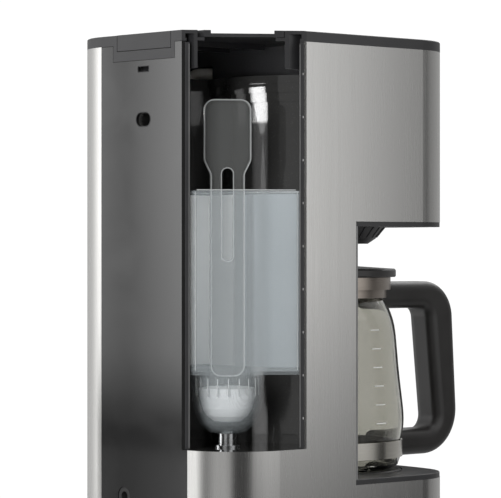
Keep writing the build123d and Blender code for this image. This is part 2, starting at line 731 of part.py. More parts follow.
basket_low = 249.0
with BuildPart() as filter_basket:
    turned(0, carafe_y, ((0, basket_low), (44, basket_low), (49.5, 256), (50.5, holder_top + 0.4),
                         (54.4, holder_top + 0.4), (54.4, 328.6), (48.6, 328.6), (47.4, 257.5),
                         (43, basket_low + 2), (0, basket_low + 2)))
    with BuildSketch(Plane.XY.offset(basket_low - 2)):
        with Locations((0, carafe_y)):
            Circle(4.0)
            with PolarLocations(22.0, 10):
                Circle(2.0)
            with PolarLocations(36.0, 16):
                Circle(2.0)
    extrude(amount=6.0, mode=Mode.SUBTRACT)
    # grip across the rim, in line with the swing
    add_box(-3.0, 3.0, carafe_y - 54.0, carafe_y - 48.6, 328.6, 332.0)
    add_box(-3.0, 3.0, carafe_y + 48.6, carafe_y + 54.0, 328.6, 332.0)
    add_box(-3.0, 3.0, carafe_y - 54.0, carafe_y + 54.0, 332.0, 334.4)
finish(filter_basket, "filter_basket")

valve_low = 212.0
with BuildPart() as drip_valve:
    turned(0, carafe_y, ((0, valve_low), (4.4, valve_low), (5.4, valve_low + 2), (5.4, 219), (3.4, 221),
                         (3.4, 237.0), (8.0, 237.0), (8.0, 238.6), (0, 238.6)))
finish(drip_valve, "drip_valve")

with BuildPart() as drip_seal:
    add_tube(0, carafe_y, 236.2, 237.0, 7.6, 3.4)
finish(drip_seal, "drip_seal")

with BuildPart() as drip_spring:
    with BuildLine() as coil:
        Helix(pitch=1.9, height=6.0, radius=4.9, center=(0, carafe_y, 221.6))
    with BuildSketch(Plane(origin=coil.line @ 0, z_dir=coil.line % 0)):
        Circle(0.4)
    sweep(path=coil.line, is_frenet=True)
finish(drip_spring, "drip_spring")

with BuildPart() as door_hinge_pin:
    add_tube(door_pin_x, door_pin_y, bay_ceiling + 0.4, chassis_z + chassis_thickness, door_pin_radius)
finish(door_hinge_pin, "door_hinge_pin")

# ================================================================ controls
button_places = {"button_hour": (-43.0, 33.0), "button_minute": (-43.0, 21.0),
                 "button_brew_later": (-29.0, 33.0), "button_strength": (-29.0, 21.0)}
power_place = (34.0, 27.0)
display_place = (2.0, 27.0)
panel_proud = 0.4
panel_depth = 3.0
switch_y = -121.6
with BuildPart() as control_panel:
    with BuildSketch(Plane.XY.offset(panel_low + 1.3)):
        draw_front_strip(-panel_proud, panel_depth - panel_proud, -panel_half + 1.8, panel_half - 1.8)
    extrude(amount=panel_high - panel_low - 2.6)
    with BuildSketch(Plane.XZ.offset(110.0)):
        for place in button_places.values():
            with Locations(place):
                Circle(button_radius + 0.35)
        with Locations(power_place):
            Circle(power_radius + 0.35)
        with Locations(display_place):
            Rectangle(2 * display_half, 2 * display_high)
    extrude(amount=40.0, mode=Mode.SUBTRACT)
finish(control_panel, "control_panel")

with BuildPart() as display_window:
    with BuildSketch(Plane.XY.offset(display_place[1] - display_high + 0.05)):
        draw_front_strip(0.0, 2.2, display_place[0] - display_half + 0.05,
                         display_place[0] + display_half - 0.05)
    extrude(amount=2 * display_high - 0.1)
finish(display_window, "display_window")


def build_button(name, place, radius):
    """A push button: a round cap that stands proud, with a collar behind the panel."""
    face = front_at(place[0]) - panel_proud
    behind = face + panel_depth + 1.2
    with BuildPart() as button:
        with BuildSketch(Plane.XZ.offset(-switch_y)):
            with Locations(place):
                Circle(radius)
        extrude(amount=switch_y - face + 2.2)
        fillet(button.edges().group_by(Axis.Y)[0], radius=0.6)
        with BuildSketch(Plane.XZ.offset(-behind - 1.4)):
            with Locations(place):
                Circle(radius + 0.9)
        extrude(amount=1.4)
    finish(button, name)


for name, place in button_places.items():
    build_button(name, place, button_radius)
build_button("button_power", power_place, power_radius)

with BuildPart() as control_board:
    add_box(-48.0, 48.0, -116.6, -115.0, 10.0, 40.0)
    for place in list(button_places.values()) + [power_place]:
        with BuildSketch(Plane.XZ.offset(116.6)):
            with Locations(place):
                Rectangle(6.0, 6.0)
        extrude(amount=3.0)
finish(control_board, "control_board")

with BuildPart() as terminal_block:
    add_box(8.0, 38.0, 84.0, 98.0, 6.5, 20.0)
    for x in (13.0, 23.0, 33.0):
        cut_tube(x, 91.0, 12.0, 30.0, 2.5)
finish(terminal_block, "terminal_block")

# ================================================================ carafe
glass_low = 50.3
with BuildPart() as carafe_glass:
    with BuildSketch(Plane(origin=(0, carafe_y, 0), x_dir=(1, 0, 0), z_dir=(0, -1, 0))):
        with BuildLine():
            foot = Polyline((0, glass_low), (57.0, glass_low), (62.6, 53.5), (64.9, 60.0), (64.9, 73.0))
            belly = Spline(foot @ 1, (67.3, 87.0), (65.7, 108.0), (62.0, 145.0), (59.0, 167.0), (50.3, 184.4))
            neck = Polyline(belly @ 1, (50.3, 199.0), (48.2, 199.0), (48.2, 184.0))
            inside = Spline(neck @ 1, (56.9, 166.5), (59.9, 144.7), (63.6, 107.8), (65.2, 87.0), (62.8, 72.5))
            floor = Polyline(inside @ 1, (62.8, 60.5), (60.8, 55.2), (56.4, 53.0), (0, 53.0), (0, glass_low))
        make_face()
    revolve(axis=Axis((0, carafe_y, 0), (0, 0, 1)))
finish(carafe_glass, "carafe_glass")

with BuildPart() as carafe_band:
    add_tube(0, carafe_y, 60.0, 73.0, 66.3, 65.0)
    add_box(-7.0, 7.0, carafe_y - 70.0, carafe_y - 65.6, 61.0, 72.0)
finish(carafe_band, "carafe_band")

with BuildPart() as carafe_collar:
    add_tube(0, carafe_y, 184.6, 191.0, 53.6, 50.4)
    add_tube(0, carafe_y, 191.0, 200.6, 57.0, 50.4)
    # pouring lip away from the handle
    add_box(-7.0, 7.0, carafe_y + 55.0, carafe_y + 62.0, 193.0, 200.6)
    with BuildSketch(Plane.XY.offset(184.0)):
        with Locations((0, carafe_y)):
            Circle(50.4)
    extrude(amount=20.0, mode=Mode.SUBTRACT)
finish(carafe_collar, "carafe_collar")

screw_spots = ((78.0, 54.8), (70.5, 194.8))
with BuildPart() as carafe_handle:
    with BuildSketch(Plane.YZ.offset(-handle_width / 2)):
        with BuildLine():
            FilletPolyline((-112.0, 196.6), (-201.5, 196.6), (-210.0, 56.0), (-118.0, 56.0),
                           (-118.0, 77.0), (-184.0, 77.0), (-173.5, 175.0), (-112.0, 175.0),
                           radius=(0, 30, 36, 0, 0, 10, 9, 0), close=True)
        make_face()
    extrude(amount=handle_width)
    side_edges = carafe_handle.edges().filter_by(Plane.YZ)
    fillet([edge for edge in side_edges if edge.center().Y < -119.0], radius=8.0)
    cut_tube(0, carafe_y, 170.0, 200.0, 57.1)
    cut_tube(0, carafe_y, 50.0, 80.0, 67.9)
    cut_box(-7.2, 7.2, carafe_y - 70.2, carafe_y, 60.8, 72.2)
    for reach, low in screw_spots:
        cut_tube(0, carafe_y - reach, low - 0.1, low + 2.5, 3.5)
finish(carafe_handle, "carafe_handle")

with BuildPart() as handle_screws:
    for reach, low in screw_spots:
        add_tube(0, carafe_y - reach, low, low + 2.4, 3.4)
finish(handle_screws, "handle_screws")

lid_base = 200.9
with BuildPart() as carafe_lid:
    turned(0, carafe_y, ((0, 190.0), (46.6, 190.0), (47.4, 191.0), (47.4, lid_base), (60.6, lid_base),
                         (61.2, 202.0), (61.2, 206.2), (60.2, 207.4), (30.0, 209.4), (0, 210.0)))
    cut_tube(0, carafe_y, 192.6, 230.0, 5.0)
    with BuildSketch(Plane.XY.offset(180.0)):
        with Locations((0, carafe_y)):
            Circle(44.8)
    extrude(amount=24.0, mode=Mode.SUBTRACT)
    add_tube(0, carafe_y, 190.0, 206.5, 9.0, 5.0)
    add_box(-9.0, 9.0, carafe_y - 67.0, carafe_y - 58.0, 201.6, 207.0)
finish(carafe_lid, "carafe_lid")
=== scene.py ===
"""Drip coffee maker: finishes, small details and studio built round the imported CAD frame.

Metres, +Z up, front towards -Y. Every piece sits at the origin with its place in its mesh.
"""

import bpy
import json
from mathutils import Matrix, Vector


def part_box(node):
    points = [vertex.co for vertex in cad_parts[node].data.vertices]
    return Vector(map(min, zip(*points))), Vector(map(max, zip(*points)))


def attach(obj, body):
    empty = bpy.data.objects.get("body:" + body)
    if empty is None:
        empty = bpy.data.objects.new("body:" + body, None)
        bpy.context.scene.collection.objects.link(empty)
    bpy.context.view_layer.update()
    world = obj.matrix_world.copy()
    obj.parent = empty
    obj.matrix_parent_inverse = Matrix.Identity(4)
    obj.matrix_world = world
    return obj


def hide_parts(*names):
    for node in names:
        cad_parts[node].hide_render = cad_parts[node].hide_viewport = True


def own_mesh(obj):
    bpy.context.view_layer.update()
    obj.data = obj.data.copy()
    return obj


bl_info = {
    "name": "Drip Coffee Maker",
    "version": (1, 0, 0),
    "blender": (4, 5, 0),
    "location": "View3D > Sidebar > Coffee Maker",
    "description": "Finishes and fine details of a drip coffee maker with an open corner water bay",
    "category": "Object",
}

import json
import math

import bmesh
import bpy
from bpy.props import FloatProperty, FloatVectorProperty, IntProperty, PointerProperty
from mathutils import Vector

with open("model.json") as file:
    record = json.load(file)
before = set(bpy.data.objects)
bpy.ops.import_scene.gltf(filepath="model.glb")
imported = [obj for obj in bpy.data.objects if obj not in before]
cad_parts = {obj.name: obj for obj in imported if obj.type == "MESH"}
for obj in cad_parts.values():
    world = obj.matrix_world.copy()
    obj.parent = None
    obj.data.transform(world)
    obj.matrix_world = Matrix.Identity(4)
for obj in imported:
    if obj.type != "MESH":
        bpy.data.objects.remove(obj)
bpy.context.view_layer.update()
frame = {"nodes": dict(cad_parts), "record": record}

MM = 0.001
CARAFE_Y = -0.060          # upright axis of carafe, plate and basket
WAND = Vector((-0.039, 0.072, 0.0))
CHORD_REAR = Vector((-0.0432, 0.121, 0.0))
CHORD_SIDE = Vector((-0.0975, 0.046, 0.0))
CHORD_ALONG = (CHORD_SIDE - CHORD_REAR).normalized()
CHORD_OUT = Vector((CHORD_ALONG.y, -CHORD_ALONG.x, 0.0))
CHORD_LENGTH = (CHORD_REAR - CHORD_SIDE).length
UP = Vector((0.0, 0.0, 1.0))
FRONT_CENTRE_Y, FRONT_RADIUS = 0.142, 0.273      # the bow of the front


# ---------------------------------------------------------------- sizes and colours
def colour(name, description, default):
    """A colour a user would change."""
    return FloatVectorProperty(name=name, description=description, default=default,
                               subtype="COLOR", size=3, min=0.0, max=1.0)


def length(name, description, default):
    """A length a user would change, in metres."""
    return FloatProperty(name=name, description=description, default=default, min=0.0, unit="LENGTH")


class CoffeeMakerColours(bpy.types.PropertyGroup):
    steel: colour("Steel", "Brushed steel wrap and basket door", (0.62, 0.615, 0.60))
    cover: colour("Covers", "Black satin mouldings", (0.016, 0.016, 0.017))
    liner: colour("Bay liner", "Polished dark wall of the water bay", (0.022, 0.022, 0.0215))
    back: colour("Rear panel", "Dark polished rear panel", (0.008, 0.008, 0.008))
    trim: colour("Trim", "Grey front edge of the column", (0.10, 0.10, 0.10))
    tank: colour("Tank", "Tinted clear tank", (0.70, 0.77, 0.80))
    # Base colour of the tank's inner wall, a sheet carrying painted light and shade; the code dims it into
    # bands of painted shade.
    wall_painted_light: colour("Tank inner wall", "Blue-grey frosted inner wall of the tank", (0.78, 0.86, 0.91))
    smoke: colour("Wand", "Smoked clear filter wand", (0.105, 0.108, 0.106))
    # The rims are raised, and their lighter colour is a painted edge highlight.
    rim: colour("Wand rims", "Lighter raised rims of the wand", (0.30, 0.31, 0.31))
    pod: colour("Filter pod", "White fibre pod", (0.84, 0.86, 0.88))
    rubber: colour("Rubber", "Feet, gland and seals", (0.014, 0.014, 0.014))
    hose: colour("Hoses", "Milky silicone", (0.62, 0.60, 0.56))
    cast: colour("Cast metal", "Heater casting", (0.58, 0.58, 0.59))
    plated: colour("Plated steel", "Screws, pins and tubes", (0.60, 0.61, 0.62))
    plate: colour("Warming plate", "Dark non-stick coating", (0.022, 0.022, 0.023))
    glass: colour("Carafe glass", "Clear glass with a faint green-brown cast", (0.52, 0.515, 0.475))
    # The ring is a lighter copy of the carafe's steel: its lighter colour is painted light for the highlights
    # the band catches.
    ring: colour("Carafe ring", "Lighter steel ring round the foot of the glass", (0.60, 0.58, 0.53))
    collar: colour("Carafe bands", "Warm dark steel", (0.34, 0.30, 0.265))
    handle: colour("Handle", "Soft black handle and lid", (0.017, 0.016, 0.0155))
    board: colour("Circuit board", "Green lacquered board", (0.015, 0.10, 0.045))
    display: colour("Display", "Tinted display window", (0.010, 0.013, 0.016))
    button: colour("Buttons", "Satin grey buttons", (0.12, 0.12, 0.125))
    signal: colour("White mouldings", "Valve, fuses and terminals", (0.70, 0.69, 0.65))
    mark: colour("Printed marks", "Pale print on panel and glass", (0.72, 0.73, 0.72))
    glow: colour("Digits", "Lit digits of the clock", (0.75, 0.90, 1.0))


class CoffeeMakerSizes(bpy.types.PropertyGroup):
    trim_width: length("Edge trim", "Width of the trim along the corner opening", 0.0032)
    notch_count: IntProperty(name="Trim notches", description="Small notches down the edge trim",
                             default=9, min=1, max=60)
    rib_width: length("Cup ribs", "Width of the ribs round the filter cup", 0.0011)
    rib_count: IntProperty(name="Cup rib count", description="Ribs round the filter cup",
                           default=18, min=3, max=60)
    flute_count: IntProperty(name="Basket flutes", description="Flutes inside the filter basket",
                             default=28, min=3, max=80)
    nose_count: IntProperty(name="Nose ribs", description="Ribs round the cone under the head",
                            default=32, min=3, max=80)
    spring_wire: length("Spring wire", "Thickness of the drip valve's spring wire", 0.0008)
    mark_height: length("Printed line", "Thickness of a printed line", 0.0007)
    cup_marks: IntProperty(name="Cup marks", description="Measuring marks on the carafe",
                           default=6, min=2, max=12)


def colours():
    return bpy.context.scene.coffee_maker_colours


def sizes():
    return bpy.context.scene.coffee_maker_sizes


# ---------------------------------------------------------------- node trees
def feed(tree, node, inputs):
    """Gives each input of a node its value, or links it to the socket that feeds it."""
    for socket, value in inputs.items():
        if isinstance(value, bpy.types.NodeSocket):
            tree.links.new(value, node.inputs[socket])
        else:
            node.inputs[socket].default_value = value


def place(tree, kind, inputs=None, **fields):
    """Adds a node; each input is a value or the socket that feeds it."""
    made = tree.nodes.new(kind)
    for field, value in fields.items():
        setattr(made, field, value)
    feed(tree, made, inputs or {})
    return made


def maths(tree, operation, *values):
    """A Math node's result."""
    return place(tree, "ShaderNodeMath", dict(enumerate(values)), operation=operation).outputs[0]


def vector_maths(tree, operation, inputs):
    """A Vector Math node."""
    return place(tree, "ShaderNodeVectorMath", inputs, operation=operation)


def remap(tree, value, low, high, to_low=0.0, to_high=1.0, **fields):
    """A value between low and high, moved to lie between to_low and to_high."""
    return place(tree, "ShaderNodeMapRange", {
        "Value": value, "From Min": low, "From Max": high, "To Min": to_low, "To Max": to_high,
    }, **fields).outputs[0]


def noise(tree, vector, scale, detail, **inputs):
    """A noise texture's value."""
    return place(tree, "ShaderNodeTexNoise", {
        "Vector": vector, "Scale": scale, "Detail": detail, **inputs,
    }).outputs["Fac"]


def mix(tree, factor, first, second, **fields):
    """A mix of two colours."""
    return place(tree, "ShaderNodeMix", {"Factor": factor, "A": first, "B": second},
                 data_type="RGBA", **fields).outputs[2]


def product(tree, first, *others):
    """The product of some numbers."""
    for other in others:
        first = maths(tree, "MULTIPLY", first, other)
    return first


def ramp(tree, factor, *stops):
    """A colour ramp with (position, value or colour) stops."""
    made = place(tree, "ShaderNodeValToRGB", {0: factor})
    elements = made.color_ramp.elements
    while len(elements) < len(stops):
        elements.new(0.5)
    for element, (position, value) in zip(elements, stops):
        element.position = position
        element.color = (*value, 1.0) if hasattr(value, "__len__") else (value, value, value, 1.0)
    return made.outputs[0]


def effect(name, numbers, outputs):
    """A shader node group of a vector and some numbers: its tree, what it is given and its end node."""
    tree = bpy.data.node_groups.new(name, "ShaderNodeTree")
    tree.interface.new_socket(name="Vector", in_out="INPUT", socket_type="NodeSocketVector")
    for socket, value in numbers.items():
        made = tree.interface.new_socket(name=socket, in_out="INPUT", socket_type="NodeSocketFloat")
        made.default_value = value
    for socket in outputs:
        tree.interface.new_socket(name=socket, in_out="OUTPUT", socket_type="NodeSocketFloat")
    return tree, tree.nodes.new("NodeGroupInput").outputs, tree.nodes.new("NodeGroupOutput")


def build_brushed_grain():
    """Fine streaks along Z over slow, broad bands."""
    tree, given, taken = effect("brushed grain", {"Across": 1500.0, "Along": 14.0, "Strength": 1.0},
                                ("Tone", "Height"))
    stretch = place(tree, "ShaderNodeCombineXYZ",
                    {0: given["Across"], 1: given["Across"], 2: given["Along"]})
    fine_place = vector_maths(tree, "MULTIPLY", {0: given["Vector"], 1: stretch.outputs[0]}).outputs[0]
    fine = noise(tree, fine_place, 1.0, 3.0, Roughness=0.6)
    broad_place = vector_maths(tree, "SCALE", {0: fine_place, "Scale": 0.06}).outputs[0]
    broad = noise(tree, broad_place, 1.0, 2.0)
    mixed = maths(tree, "ADD", maths(tree, "MULTIPLY", fine, 0.7), maths(tree, "MULTIPLY", broad, 0.3))
    centred = maths(tree, "MULTIPLY", maths(tree, "SUBTRACT", mixed, 0.5), given["Strength"])
    feed(tree, taken, {"Tone": maths(tree, "ADD", centred, 0.5), "Height": fine})
    return tree


def build_moulded_skin():
    """The fine spark texture of a moulding tool, with slow changes of gloss over it."""
    tree, given, taken = effect("moulded skin", {"Pebbles": 1400.0, "Patches": 22.0}, ("Height", "Gloss"))
    pebbles = place(tree, "ShaderNodeTexVoronoi", {
        "Vector": given["Vector"], "Scale": given["Pebbles"], "Randomness": 1.0}, feature="SMOOTH_F1")
    cloud = noise(tree, given["Vector"], given["Patches"], 4.0, Roughness=0.55)
    feed(tree, taken, {"Height": maths(tree, "SUBTRACT", 1.0, pebbles.outputs["Distance"]), "Gloss": cloud})
    return tree


def build_handled_gloss():
    """Faint wipe marks and finger smears that change a polished surface's gloss."""
    tree, given, taken = effect("handled gloss", {"Smears": 18.0, "Lowest": 0.06, "Highest": 0.16},
                                ("Roughness", "Dust"))
    smears = noise(tree, given["Vector"], given["Smears"], 5.0, Distortion=0.8)
    specks = noise(tree, given["Vector"], 900.0, 1.0)
    feed(tree, taken, {"Roughness": remap(tree, smears, 0.35, 0.7, given["Lowest"], given["Highest"]),
                       "Dust": remap(tree, specks, 0.62, 0.75)})
    return tree


EFFECTS = {"brushed": build_brushed_grain, "moulded": build_moulded_skin, "handled": build_handled_gloss}
GROUPS = {}


def use(tree, name, **inputs):
    """Places a shared effect, built once, in a material, and gives its outputs."""
    if name not in GROUPS:
        GROUPS[name] = EFFECTS[name]()
    return place(tree, "ShaderNodeGroup", inputs, node_tree=GROUPS[name]).outputs


def start_material(name):
    """A fresh material: its tree, its Principled node and the Object coordinates."""
    material = bpy.data.materials.new(name)
    material.use_nodes = True
    tree = material.node_tree
    surface = tree.nodes["Principled BSDF"]
    coordinates = place(tree, "ShaderNodeTexCoord").outputs["Object"]
    return material, tree, surface, coordinates


def tinted(tree, factor, shade, dark, light):
    """A colour that runs from dark to light times shade as factor goes from 0 to 1."""
    low = tuple(min(1.0, c * dark) for c in shade)
    high = tuple(min(1.0, c * light) for c in shade)
    return ramp(tree, factor, (0.25, low), (0.75, high))


def bump(tree, surface, height, distance, strength=1.0):
    """Feeds a height to the surface's normal."""
    made = place(tree, "ShaderNodeBump", {"Height": height, "Distance": distance, "Strength": strength})
    tree.links.new(made.outputs[0], surface.inputs["Normal"])


def brushed_metal(name, shade, roughness, across=1500.0, along=14.0):
    """Brushed metal with its grain along Z."""
    material, tree, surface, coordinates = start_material(name)
    grain = use(tree, "brushed", Vector=coordinates, Across=across, Along=along, Strength=1.2)
    feed(tree, surface, {
        "Base Color": tinted(tree, grain["Tone"], shade, 0.93, 1.05),
        "Roughness": remap(tree, grain["Tone"], 0.3, 0.7, roughness + 0.05, roughness - 0.04),
        "Metallic": 1.0})
    bump(tree, surface, grain["Height"], 0.000006)
    return material


def cast_metal(name, shade, roughness, pebbles=700.0, relief=0.00012, metallic=1.0):
    """Sand-cast or coated metal."""
    material, tree, surface, coordinates = start_material(name)
    skin = use(tree, "moulded", Vector=coordinates, Pebbles=pebbles, Patches=40.0)
    feed(tree, surface, {
        "Base Color": tinted(tree, skin["Gloss"], shade, 0.82, 1.12),
        "Roughness": remap(tree, skin["Gloss"], 0.0, 1.0, roughness + 0.08, roughness - 0.08),
        "Metallic": metallic})
    bump(tree, surface, skin["Height"], relief)
    return material


def moulding(name, shade, roughness, pebbles=1400.0, relief=0.00004):
    """Satin moulded plastic with a fine tool texture."""
    material, tree, surface, coordinates = start_material(name)
    skin = use(tree, "moulded", Vector=coordinates, Pebbles=pebbles, Patches=26.0)
    feed(tree, surface, {
        "Base Color": tinted(tree, skin["Gloss"], shade, 0.88, 1.14),
        "Roughness": remap(tree, skin["Gloss"], 0.3, 0.7, roughness - 0.05, roughness + 0.06)})
    bump(tree, surface, skin["Height"], relief)
    return material


def handled(name, shade, dusty, specular, wave, relief, **gloss_inputs):
    """A smooth surface with faint wipe marks and a slow wave: wave is its scale, relief its strength."""
    material, tree, surface, coordinates = start_material(name)
    gloss = use(tree, "handled", Vector=coordinates, **gloss_inputs)
    feed(tree, surface, {"Base Color": tinted(tree, gloss["Dust"], shade, 1.0, dusty),
                         "Roughness": gloss["Roughness"], "Specular IOR Level": specular})
    bump(tree, surface, noise(tree, coordinates, wave, 1.0), *relief)
    return material, tree, surface


def polished(name, shade, lowest, highest, specular=0.5):
    """Polished plastic with faint wipe marks."""
    return handled(name, shade, 1.6, specular, 26.0, (0.0002, 0.12), Lowest=lowest, Highest=highest)[0]


def clear(name, shade, roughness, ior):
    """Clear or tinted glass."""
    material, tree, surface = handled(name, shade, 1.05, 0.5, 34.0, (0.00015, 0.25), Smears=30.0,
                                      Lowest=roughness, Highest=roughness + 0.05)
    feed(tree, surface, {"Transmission Weight": 1.0, "IOR": ior})
    return material


def thin_clear(name, shade, alpha, roughness, specular=0.5):
    """Clear or smoked moulding that light passes straight through."""
    material, tree, surface = handled(name, shade, 1.3, specular, 20.0, (0.0002, 0.12), Smears=24.0,
                                      Lowest=roughness, Highest=roughness + 0.05)
    feed(tree, surface, {"Alpha": alpha})
    return material


def tank_wall_painted_light(name, shade):
    """Inner wall of the tank carrying painted light and shade: painted near white on its flat side, painted
    blue-grey shade round the bulge with darker upright bands, and darker towards the bottom.
    """
    material, tree, surface, coordinates = start_material(name)
    spot = place(tree, "ShaderNodeSeparateXYZ", {0: coordinates}).outputs
    across = remap(tree, spot["X"], -0.065, 0.040)
    # Painted light: the flat side of the wall is painted near white.
    pale = (0.97, 0.97, 0.96)
    # Painted shade: how far the base colour is dimmed at each place across the wall, with darker upright
    # bands as painted shadow lines.
    shares = ((0.08, 0.16), (0.12, 0.27), (0.30, 0.27), (0.40, 0.30), (0.43, 0.14), (0.47, 0.18),
              (0.49, 0.36), (0.55, 0.34), (0.59, 0.28))
    painted_shade_stops = [(position, tuple(c * share for c in shade)) for position, share in shares]
    bands = ramp(tree, across, *painted_shade_stops, (0.62, pale), (1.0, pale))
    # Painted shade: the wall gets darker towards the bottom.
    rise = remap(tree, spot["Z"], 0.13, 0.27, 0.80, 1.0)
    cloud = use(tree, "moulded", Vector=coordinates, Pebbles=900.0, Patches=18.0)
    clouded = maths(tree, "ADD", 0.92, maths(tree, "MULTIPLY", cloud["Gloss"], 0.16))
    soft = maths(tree, "MULTIPLY", rise, clouded)
    grey = place(tree, "ShaderNodeCombineColor", {0: soft, 1: soft, 2: soft})
    painted_light_colour = mix(tree, 1.0, bands, grey.outputs[0], blend_type="MULTIPLY")
    feed(tree, surface, {"Base Color": painted_light_colour, "Roughness": 0.35})
    bump(tree, surface, cloud["Height"], 0.00003)
    return material


def fibre(name, shade):
    """Pressed white fibre with a fine weave."""
    material, tree, surface, coordinates = start_material(name)
    threads = [place(tree, "ShaderNodeTexWave", {
        "Vector": coordinates, "Scale": 330.0, "Distortion": 1.2, "Detail": 1.0,
    }, bands_direction=axis).outputs["Fac"] for axis in ("X", "Z")]
    weave = maths(tree, "MAXIMUM", *threads)
    feed(tree, surface, {"Base Color": tinted(tree, weave, shade, 0.86, 1.08), "Roughness": 0.85,
                         "Subsurface Weight": 0.25, "Subsurface Radius": (0.002, 0.002, 0.002)})
    bump(tree, surface, weave, 0.0003)
    return material


def lamp(name, shade, strength):
    """A softly lit segment."""
    material, tree, surface, coordinates = start_material(name)
    glow = tinted(tree, noise(tree, coordinates, 1500.0, 1.0), shade, 0.85, 1.1)
    feed(tree, surface, {"Base Color": glow, "Emission Color": glow, "Emission Strength": strength,
                         "Roughness": 0.5})
    return material


FINISHES = {}


def finish(slot):
    """The material of a finish slot, built once."""
    c = colours()
    builders = {
        "brushed_steel": lambda: brushed_metal("brushed steel", c.steel, 0.24, across=2400.0, along=22.0),
        "black_cover": lambda: moulding("black satin cover", c.cover, 0.42),
        "gloss_black": lambda: polished("polished black", c.liner, 0.02, 0.07),
        "back_panel": lambda: polished("polished rear panel", c.back, 0.08, 0.16, specular=1.0),
        "grey_trim": lambda: moulding("grey trim", c.trim, 0.38),
        "clear_tank": lambda: thin_clear("clear tank", c.tank, 0.10, 0.04),
        "notch": lambda: moulding("trim notch", (0.22, 0.22, 0.22), 0.4),
        # Painted light and shade on the tank's inner wall.
        "wall_painted_light": lambda: tank_wall_painted_light("tank frosting", c.wall_painted_light),
        "smoke_clear": lambda: thin_clear("smoked clear", c.smoke, 0.40, 0.05),
        "cup_clear": lambda: thin_clear("clear cup", c.smoke, 0.16, 0.05, specular=0.8),
        # A lighter copy of the smoked moulding: painted edge highlight on rims, beads and ribs.
        "smoke_rim": lambda: thin_clear("smoked rim painted highlight", c.rim, 0.75, 0.08, specular=0.8),
        "pod_white": lambda: fibre("fibre pod", c.pod),
        "rubber_black": lambda: moulding("black rubber", c.rubber, 0.68, pebbles=900.0, relief=0.00006),
        "silicone": lambda: moulding("milky silicone", c.hose, 0.45, pebbles=500.0, relief=0.00003),
        "aluminium_cast": lambda: cast_metal("cast aluminium", c.cast, 0.48),
        "zinc_steel": lambda: brushed_metal("plated steel", c.plated, 0.24, across=900.0, along=200.0),
        "plate_coating": lambda: cast_metal("plate coating", c.plate, 0.42, pebbles=1500.0, relief=0.00005,
                                            metallic=0.3),
        "carafe_glass": lambda: clear("carafe glass", c.glass, 0.0, 1.47),
        "carafe_steel": lambda: brushed_metal("carafe collar", c.collar, 0.30, across=60.0, along=1500.0),
        # Painted light: a lighter copy of the carafe steel.
        "carafe_ring": lambda: brushed_metal("carafe ring painted light", c.ring, 0.2, across=60.0, along=1500.0),
        "handle_black": lambda: moulding("handle black", c.handle, 0.36, pebbles=1100.0, relief=0.00003),
        "board_green": lambda: polished("circuit board", c.board, 0.2, 0.35),
        "display": lambda: polished("display window", c.display, 0.03, 0.08),
        "button_grey": lambda: moulding("button grey", c.button, 0.4),
        "signal_white": lambda: moulding("white moulding", c.signal, 0.5, relief=0.00003),
        "mark": lambda: moulding("printed mark", c.mark, 0.5, pebbles=2600.0, relief=0.00001),
        "glow": lambda: lamp("lit digits", c.glow, 1.6),
    }
    if slot not in FINISHES:
        FINISHES[slot] = builders[slot]()
    return FINISHES[slot]


# ---------------------------------------------------------------- meshes
def keep(name, mesh, slot, body):
    """Makes a piece of a mesh: the finish of its slot and the body it rides on."""
    mesh.materials.clear()
    mesh.materials.append(finish(slot))
    made = bpy.data.objects.new(name, mesh)
    bpy.context.scene.collection.objects.link(made)
    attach(made, body)
    return made


def mesh_from(form, name):
    """A mesh of a bmesh, with its faces turned outwards."""
    bmesh.ops.remove_doubles(form, verts=form.verts, dist=1e-7)
    bmesh.ops.recalc_face_normals(form, faces=form.faces)
    mesh = bpy.data.meshes.new(name)
    form.to_mesh(mesh)
    form.free()
    return mesh


def add_bar(form, corner, along, across, deep, bevel=0.0):
    """A block from a corner and three edges, with its edges rounded."""
    corners = [corner + along * i + across * j + deep * k for i in (0, 1) for j in (0, 1) for k in (0, 1)]
    verts = [form.verts.new(point) for point in corners]
    faces = [form.faces.new([verts[i] for i in loop]) for loop in
             ((0, 1, 3, 2), (4, 6, 7, 5), (0, 4, 5, 1), (2, 3, 7, 6), (0, 2, 6, 4), (1, 5, 7, 3))]
    if bevel:
        edges = {edge for face in faces for edge in face.edges}
        bmesh.ops.bevel(form, geom=list(edges), offset=bevel, segments=2, profile=0.6, affect="EDGES")


# ---------------------------------------------------------------- geometry node trees
def shape_tree(name, **sockets):
    """An empty Geometry Nodes tree: the tree, what it is given and its end node."""
    tree = bpy.data.node_groups.new(name, "GeometryNodeTree")
    for socket, kind in {"Geometry": "Geometry", **sockets, "Material": "Material"}.items():
        tree.interface.new_socket(name=socket.replace("_", " "), in_out="INPUT",
                                  socket_type="NodeSocket" + kind)
    tree.interface.new_socket(name="Geometry", in_out="OUTPUT", socket_type="NodeSocketGeometry")
    return tree, tree.nodes.new("NodeGroupInput").outputs, tree.nodes.new("NodeGroupOutput")


def close_tree(tree, shape, given, taken):
    """Ends a tree in Realize Instances and Set Material."""
    real = place(tree, "GeometryNodeRealizeInstances", {0: shape})
    painted = place(tree, "GeometryNodeSetMaterial",
                    {"Geometry": real.outputs[0], "Material": given["Material"]})
    feed(tree, taken, {0: painted.outputs[0]})
    return tree


def round_rod(tree, curve, thickness, sides):
    """A capped rod along a curve."""
    half = maths(tree, "MULTIPLY", thickness, 0.5)
    section = place(tree, "GeometryNodeCurvePrimitiveCircle", {"Resolution": sides, "Radius": half})
    return place(tree, "GeometryNodeCurveToMesh",
                 {0: curve, 1: section.outputs[0], "Fill Caps": True}).outputs[0]


def copies(tree, points, instance, **how):
    """Copies of an instance on points."""
    return place(tree, "GeometryNodeInstanceOnPoints",
                 {"Points": points, "Instance": instance, **how}).outputs[0]


